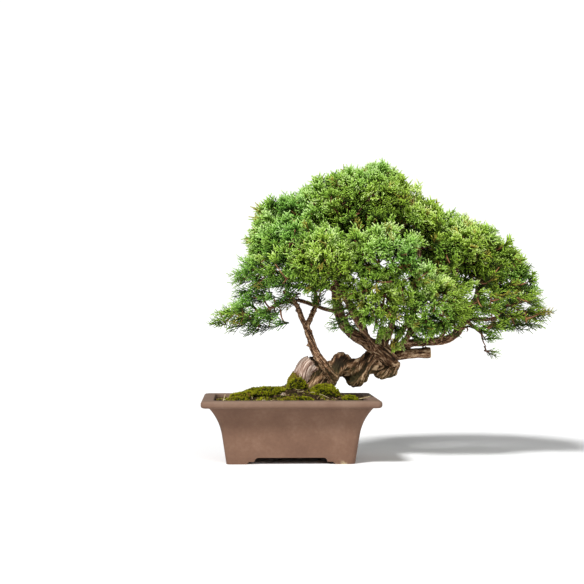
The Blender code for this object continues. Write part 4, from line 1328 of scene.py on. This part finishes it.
pad_sprays = {}
for number, name in enumerate(PADS):
    cast = random.Random(300 + number)
    grow_twigs(tufts[name], cast)
    centre, half = shapes[name]
    airy = name in AIRY_PADS
    rows = []
    for place, aim, shade in tufts[name]:
        # painted light: the tone rises with the tuft's shade value and with its height in the pad, on top of
        # a random part
        tuft_tone_and_light = cast.gauss(0.5, 0.12) + shade + 0.2 * (place.z - centre.z) / half.z
        low_edge = place.z < LOW_EDGE and cast.random() < (0.7 if place.z < LOWEST_EDGE else 0.35)
        long_shoots = airy or low_edge
        for _ in range(LONG_SPRAYS_EACH if long_shoots else SPRAYS_EACH):
            spread = Vector([cast.gauss(0, 1) for _ in range(3)])
            direction = (aim + spread * (0.45 if long_shoots else 0.62)).normalized()
            if long_shoots:
                direction = long_direction(place, direction)
                kind = SHORT_SPRAYS + cast.randrange(LONG_SPRAYS)
            else:
                kind = cast.randrange(SHORT_SPRAYS)
            size = cast.uniform(0.7, 1.05) if long_shoots else cast.uniform(0.75, 1.2)
            if not in_outline(place + direction * (18.0 if long_shoots else 7.0) * size):
                continue
            warm = 1.0 if cast.random() < 0.05 else 0.0
            # painted shade: the long shoots at the low, poorly lit edges are darkened by 0.12
            tone = tuft_tone_and_light + cast.gauss(0, 0.16) - (0.12 if long_shoots else 0.0)
            roll = cast.uniform(0, 2 * math.pi)
            rows.append((place + spread, direction, roll, size, tone, warm, kind))
    pad_sprays[name] = rows
for place, direction, size in SPRIGS:
    for turn in (0.0, 1.6):
        row = (place, Vector(direction).normalized(), turn, size, 0.75, 0.0, SHORT_SPRAYS + int(turn))
        pad_sprays["foliage_centre_low"].append(row)
print(sum(map(len, pad_sprays.values())), "sprays on", len(PADS), "pads")

# %% [markdown]
# ## Green
# Young tips are a bright yellow green, the mid cords a full green, and the old inner cords dark, with a few
# turning yellow before they are shed. The dark towards the base of each spray is partly the cords' own
# colour and partly painted shade, which stands for the shade deep in the crown. The material reads the tone
# that each spray was given, which also carries painted light from above and painted shade between pads
# and on the low shoots, and how near the tip a point is, and both pull the colour along a ramp. There are
# two ramps, a fresh yellowish one and a cooler one, and a slow noise through the crown mixes them.

# %% Foliage finish
leafy, tree, shader, where = new_finish("juniper_cords", 0.55)
shader.inputs["Specular IOR Level"].default_value = 0.2
tone = attribute(tree, "tone")
tip = attribute(tree, "tip")
# the tone holds random variation plus painted light and shade; the tip share darkens each spray's base as
# painted shade and lightens its tips as paler new growth
tone_and_light_part = times(tree, math_node(tree, "SUBTRACT", tone, 0.5), 0.6)
tip_growth_and_shade = times(tree, math_node(tree, "POWER", tip, 1.4), 0.72)
level = plus(tree, plus(tree, tone_and_light_part, tip_growth_and_shade), 0.14, clamp=True)
fresh_green = ramp(
    tree, level,
    [
        (0.0, (0.008, 0.012, 0.0003)), (0.24, (0.050, 0.078, 0.002)), (0.45, (0.20, 0.32, 0.014)),
        (0.7, (0.44, 0.64, 0.075)), (1.0, (0.78, 0.92, 0.36)),
    ],
)
cool_green = ramp(
    tree, level,
    [
        (0.0, (0.004, 0.012, 0.001)), (0.24, (0.026, 0.072, 0.005)), (0.45, (0.115, 0.28, 0.024)),
        (0.7, (0.29, 0.56, 0.09)), (1.0, (0.62, 0.84, 0.36)),
    ],
)
cool_share = stretch(tree, noise_value(tree, where, 14.0, 2.5), 0.42, 0.66)
green = blend_colour(tree, cool_share, fresh_green, cool_green)
green = blend_colour(tree, times(tree, attribute(tree, "warm"), 0.7), green, (0.42, 0.30, 0.05))
scales = node(tree, "ShaderNodeTexVoronoi", {"Vector": where, "Scale": 1500.0}).outputs["Distance"]
green = blend_colour(tree, times(tree, scales, 0.3), green, (0.05, 0.10, 0.02))
paint(tree, shader, green)
bump(tree, shader, scales, 0.4, 0.2)

# %% Foliage pieces
for name in PADS:
    sprays = point_cloud(name.replace("foliage", "sprays"), pad_sprays[name])
    run_tree(sprays, SET_PIECES, pieces=spray_collection, piece_size=1.0, finish=leafy)
    hand_over(sprays, leafy, [name], smooth_degrees=180.0)

# %% [markdown]
# ## Fine twigs
# The twigs that carry the tufts are reddish brown and nearly smooth, with paler patches.

# %% Twig piece
twig_bark, tree, shader, where = new_finish("young_bark", 0.7)
shade = place_group(tree, MOTTLE, where, coarse_scale=160.0, fine_scale=900.0, fine_share=0.4)
twig_colours = [(0.0, (0.05, 0.016, 0.008)), (0.6, (0.20, 0.075, 0.030)), (1.0, (0.42, 0.24, 0.07))]
paint(tree, shader, ramp(tree, shade, twig_colours))
roughen(tree, shader, where, 1500.0, 0.3, 0.4, 0.2)
twigs = object_from_points("fine_twigs", twig_points, twig_faces)
hand_over(twigs, twig_bark, smooth_degrees=180.0)

clear_stock(spray_collection)

# %% [markdown]
# ## Moss
# Moss is a fur of upright stems a few millimetres high, each with tiny leaves. The CAD cushions stay as
# the dense inside of each cushion, and the same node tree plants stems all over them, except where they
# face down. Between the cushions the moss creeps over the soil in a thin broken carpet, and
# it climbs the damp foot of the stump, where it grows thinner towards an edge that falls to the right.

# %% Moss stems
MOSS_NODES = sorted(name for name in frame["nodes"] if name.startswith("moss_"))
STEM_SPACING = 1.55
CARPET_TRIES = 7600
STUMP_TRIES = 2400
DRY_BELOW, DRY_LEFT_OF = 76, 10
CLIMB_FROM, CLIMB_TO, CLIMB_FADE = 78.0, 105.0, 9.0


def moss_stock():
    """Three tufts of a few leaves, each leaf a small three-sided cone."""
    stock = bpy.data.collections.new("moss_stems")
    bpy.context.scene.collection.children.link(stock)
    for kind in range(3):
        cast = random.Random(70 + kind)
        points, faces = [], []
        for leaf in range(5):
            turn = 2 * math.pi * (leaf + cast.random() * 0.6) / 5
            foot = Vector((math.cos(turn) * 0.35, math.sin(turn) * 0.35, -0.5))
            out_x, out_y = math.cos(turn) * cast.uniform(0.5, 1.3), math.sin(turn) * cast.uniform(0.5, 1.3)
            tip = Vector((out_x, out_y, cast.uniform(1.2, 2.4)))
            add_tube(points, faces, np.array([(*foot, 0.42), (*tip, 0.16)]), 3)
        mesh = bpy.data.meshes.new(f"stem_{kind}")
        mesh.from_pydata([tuple(c * MM for c in p) for p in points], [], faces)
        tips = [min(1.0, max(0.0, p[2] / 2.2)) for p in points]
        store(mesh, "tip", tips)
        stock.objects.link(bpy.data.objects.new(f"stem_{kind}", mesh))
    return stock


def moss_row(place, aim, cast, size, tone, brown_share):
    brown = 1.0 if cast.random() < brown_share else 0.0
    return (place, aim, cast.uniform(0, 6.28), size, tone, brown, cast.randrange(3))


def on_cushions(cast):
    """Stems all over the CAD's moss cushions."""
    rows = []
    for name in MOSS_NODES:
        triangles, areas = triangles_of(name)
        for a, b, c in cast.choices(triangles, areas, k=int(sum(areas) / MM**2 / STEM_SPACING**2)):
            normal = (b - a).cross(c - a).normalized()
            if normal.z < -0.15:
                continue
            place = somewhere_on(a, b, c, cast)
            wobble = Vector([cast.gauss(0, 0.25) for _ in range(3)])
            aim = normal + Vector((0, 0, 0.6)) + wobble
            tone = 0.5 + 0.45 * noise.noise(place * 0.16) + cast.gauss(0, 0.12)
            brown = 0.31 if place.z < DRY_BELOW and place.x < DRY_LEFT_OF else 0.06
            rows.append(moss_row(place, aim, cast, cast.uniform(0.6, 1.15), tone, brown))
    return rows


def creeping(cast):
    """Stems in a broken carpet on the soil, and up the foot of the stump."""
    rows = []
    for _ in range(CARPET_TRIES):
        x, y = cast.uniform(-1, 1) * (SOIL_HALF[0] - 2), cast.uniform(-1, 1) * (SOIL_HALF[1] - 2)
        cover = noise.noise(Vector((x * 0.045, y * 0.06, 4.0)))
        cover += 0.35 * noise.noise(Vector((x * 0.2, y * 0.2, 1.0)))
        if cover + 0.35 - 0.006 * abs(x + 12) < cast.uniform(0.0, 0.5):
            continue
        aim = Vector((cast.gauss(0, 0.3), cast.gauss(0, 0.3), 1.0))
        place = Vector((x, y, soil_top(x, y) + 0.3))
        size, tone = cast.uniform(0.45, 0.85), 0.35 + cover + cast.gauss(0, 0.1)
        rows.append(moss_row(place, aim, cast, size, tone, 0.15))
    edge = [CLIMB_TO - 0.5 * max(0.0, p[0]) - 3.0 * max(0.0, p[0] - 13.0) for p in co]
    low_skin = [i for i in range(len(co)) if stump_skin[i] and CLIMB_FROM < co[i][2] < edge[i]]
    for i in cast.choices(low_skin, k=STUMP_TRIES):
        fade = (edge[i] - co[i][2]) / CLIMB_FADE
        if cast.random() < fade:
            aim = Vector(normals[i]) + Vector((0, 0, 0.5))
            size, brown = cast.uniform(0.4, 0.85), 0.8 - 0.4 * min(1.0, fade)
            rows.append(moss_row(Vector(co[i]), aim, cast, size, 0.6, brown))
    return rows


moss_finish, tree, shader, where = new_finish("moss", 0.85)
shader.inputs["Specular IOR Level"].default_value = 0.1
tone = attribute(tree, "tone")
tip = attribute(tree, "tip")
brown = attribute(tree, "warm")
level = plus(tree, times(tree, tone, 0.5), times(tree, tip, 0.5), clamp=True)
moss_colours = [
    (0.0, (0.012, 0.013, 0.001)), (0.35, (0.065, 0.070, 0.001)), (0.65, (0.19, 0.20, 0.004)),
    (1.0, (0.42, 0.43, 0.022)),
]
moss_colour = ramp(tree, level, moss_colours)
paint(tree, shader, blend_colour(tree, times(tree, brown, 0.75), moss_colour, (0.20, 0.10, 0.03)))
roughen(tree, shader, where, 1500.0, 0.5, 0.5, 0.4)

stems = moss_stock()
for name, plant, seed in (("moss_on_cushions", on_cushions, 21), ("creeping_moss", creeping, 22)):
    moss = point_cloud(name, plant(random.Random(seed)))
    run_tree(moss, SET_PIECES, pieces=stems, piece_size=1.0, finish=moss_finish)
    hand_over(moss, moss_finish, smooth_degrees=180.0)
clear_stock(stems)
give_finish(MOSS_NODES, moss_finish)

# %% [markdown]
# ## Stones, straw and fallen bits
# A few small stones lie on the soil. Each starts from its CAD lump, is rounded by a Subdivision
# Surface and then roughened a little. Dry stalks, thin as thread, lie across the moss; each is a
# bent tube laid on the mound, with one end lifted.

# %% Stones
stone, tree, shader, where = new_finish("weathered_stone", 0.75)
clouds = place_group(tree, MOTTLE, where, coarse_scale=90.0, fine_scale=900.0, fine_share=0.5)
stone_colours = [(0.0, (0.20, 0.13, 0.075)), (0.5, (0.42, 0.33, 0.23)), (1.0, (0.66, 0.59, 0.48))]
paint(tree, shader, ramp(tree, clouds, stone_colours))
roughen(tree, shader, where, 1200.0, 0.5, 0.5, 0.3)
for name in sorted(name for name in frame["nodes"] if name.startswith("pebble_")):
    pebble = new_object(name.replace("pebble", "stone"), frame["nodes"][name].data.copy())
    rounder = pebble.modifiers.new("round", "SUBSURF")
    rounder.levels = rounder.render_levels = 3
    bake(pebble)
    for vert in pebble.data.vertices:
        vert.co += vert.normal * 0.35 * MM * noise.noise(vert.co / MM * 0.9)
    hand_over(pebble, stone, [name], smooth_degrees=180.0)

# %% Straw
SHORT_STALKS = 70
# place, heading, length and lift
LONG_STALKS = (
    (66, -50, -0.25, 26, 2.2), (70, -56, 0.1, 22, 3.0), (60, -52, 0.05, 20, 0.8), (-76, -40, 1.2, 7, 8.0),
    (68, -12, 0.1, 25, 4.6), (64, 10, -0.3, 27, 4.8), (60, -24, 0.35, 29, 4.2), (34, -50, 0.3, 20, 3.0),
    (20, -56, -0.1, 17, 2.0), (-30, -54, 2.9, 16, 1.5), (-52, -50, 2.4, 12, 3.0),
)
cast = random.Random(33)
straw_points, straw_faces, straw_tones = [], [], []


def lay_stalk(x, y, heading, length, radius, lift, sag):
    """A dry stalk on the soil from (x, y), in millimetres; its far end rises by lift."""
    path = []
    for t in steps(0.0, 1.0, 6):
        px = x + math.cos(heading) * length * t + sag * math.sin(math.pi * t) * math.sin(heading)
        py = y + math.sin(heading) * length * t - sag * math.sin(math.pi * t) * math.cos(heading)
        inside_x = max(-SOIL_HALF[0], min(SOIL_HALF[0], px))
        path.append((px, py, soil_top(inside_x, py) + 1.6 + lift * t * t, radius * (1.0 - 0.35 * t)))
    before = len(straw_points)
    add_tube(straw_points, straw_faces, np.array(path), 5)
    straw_tones.extend([cast.random()] * (len(straw_points) - before))


for _ in range(SHORT_STALKS):
    x, y = cast.uniform(-0.92, 0.85) * SOIL_HALF[0], cast.uniform(-0.92, 0.9) * SOIL_HALF[1]
    heading, length, radius = cast.uniform(0, 6.28), cast.uniform(4, 13), cast.uniform(0.22, 0.42)
    lay_stalk(x, y, heading, length, radius, cast.uniform(0, 2.5), cast.uniform(-2, 2))
for x, y, heading, length, lift in LONG_STALKS:
    lay_stalk(x, y, heading, length, 0.42, lift, cast.uniform(-2, 2))
straw_finish, tree, shader, where = new_finish("dry_straw", 0.7)
straw_colours = [(0.0, (0.12, 0.065, 0.03)), (0.5, (0.36, 0.26, 0.11)), (1.0, (0.62, 0.52, 0.28))]
paint(tree, shader, ramp(tree, attribute(tree, "tone"), straw_colours))
roughen(tree, shader, where, 1500.0, 0.3, 0.4, 0.2)
straw = object_from_points("dry_stalks", straw_points, straw_faces)
store(straw.data, "tone", straw_tones)
hand_over(straw, straw_finish, smooth_degrees=180.0)

# %% [markdown]
# ## Mesh and wire under the soil
# Two squares of black plastic mesh keep the soil from washing out of the drain holes, and a bent
# copper-coloured wire holds each. They stay as the CAD made them and only get their finishes.

# %% Mesh and wire
mesh_plastic, tree, shader, where = new_finish("black_mesh_plastic", 0.55)
dust = place_group(tree, MOTTLE, where, coarse_scale=120.0, fine_scale=900.0, fine_share=0.5)
paint(tree, shader, ramp(tree, dust, [(0.0, (0.012, 0.012, 0.012)), (1.0, (0.045, 0.04, 0.034))]))
wire, tree, shader, where = new_finish("copper_coloured_wire", 0.42)
shader.inputs["Metallic"].default_value = 1.0
dull = place_group(tree, MOTTLE, where, coarse_scale=150.0, fine_scale=1200.0, fine_share=0.4)
paint(tree, shader, ramp(tree, dull, [(0.0, (0.42, 0.22, 0.12)), (1.0, (0.62, 0.36, 0.22))]))
give_finish(["drainage_screen_left", "drainage_screen_right"], mesh_plastic)
give_finish(["screen_clip_left", "screen_clip_right"], wire)
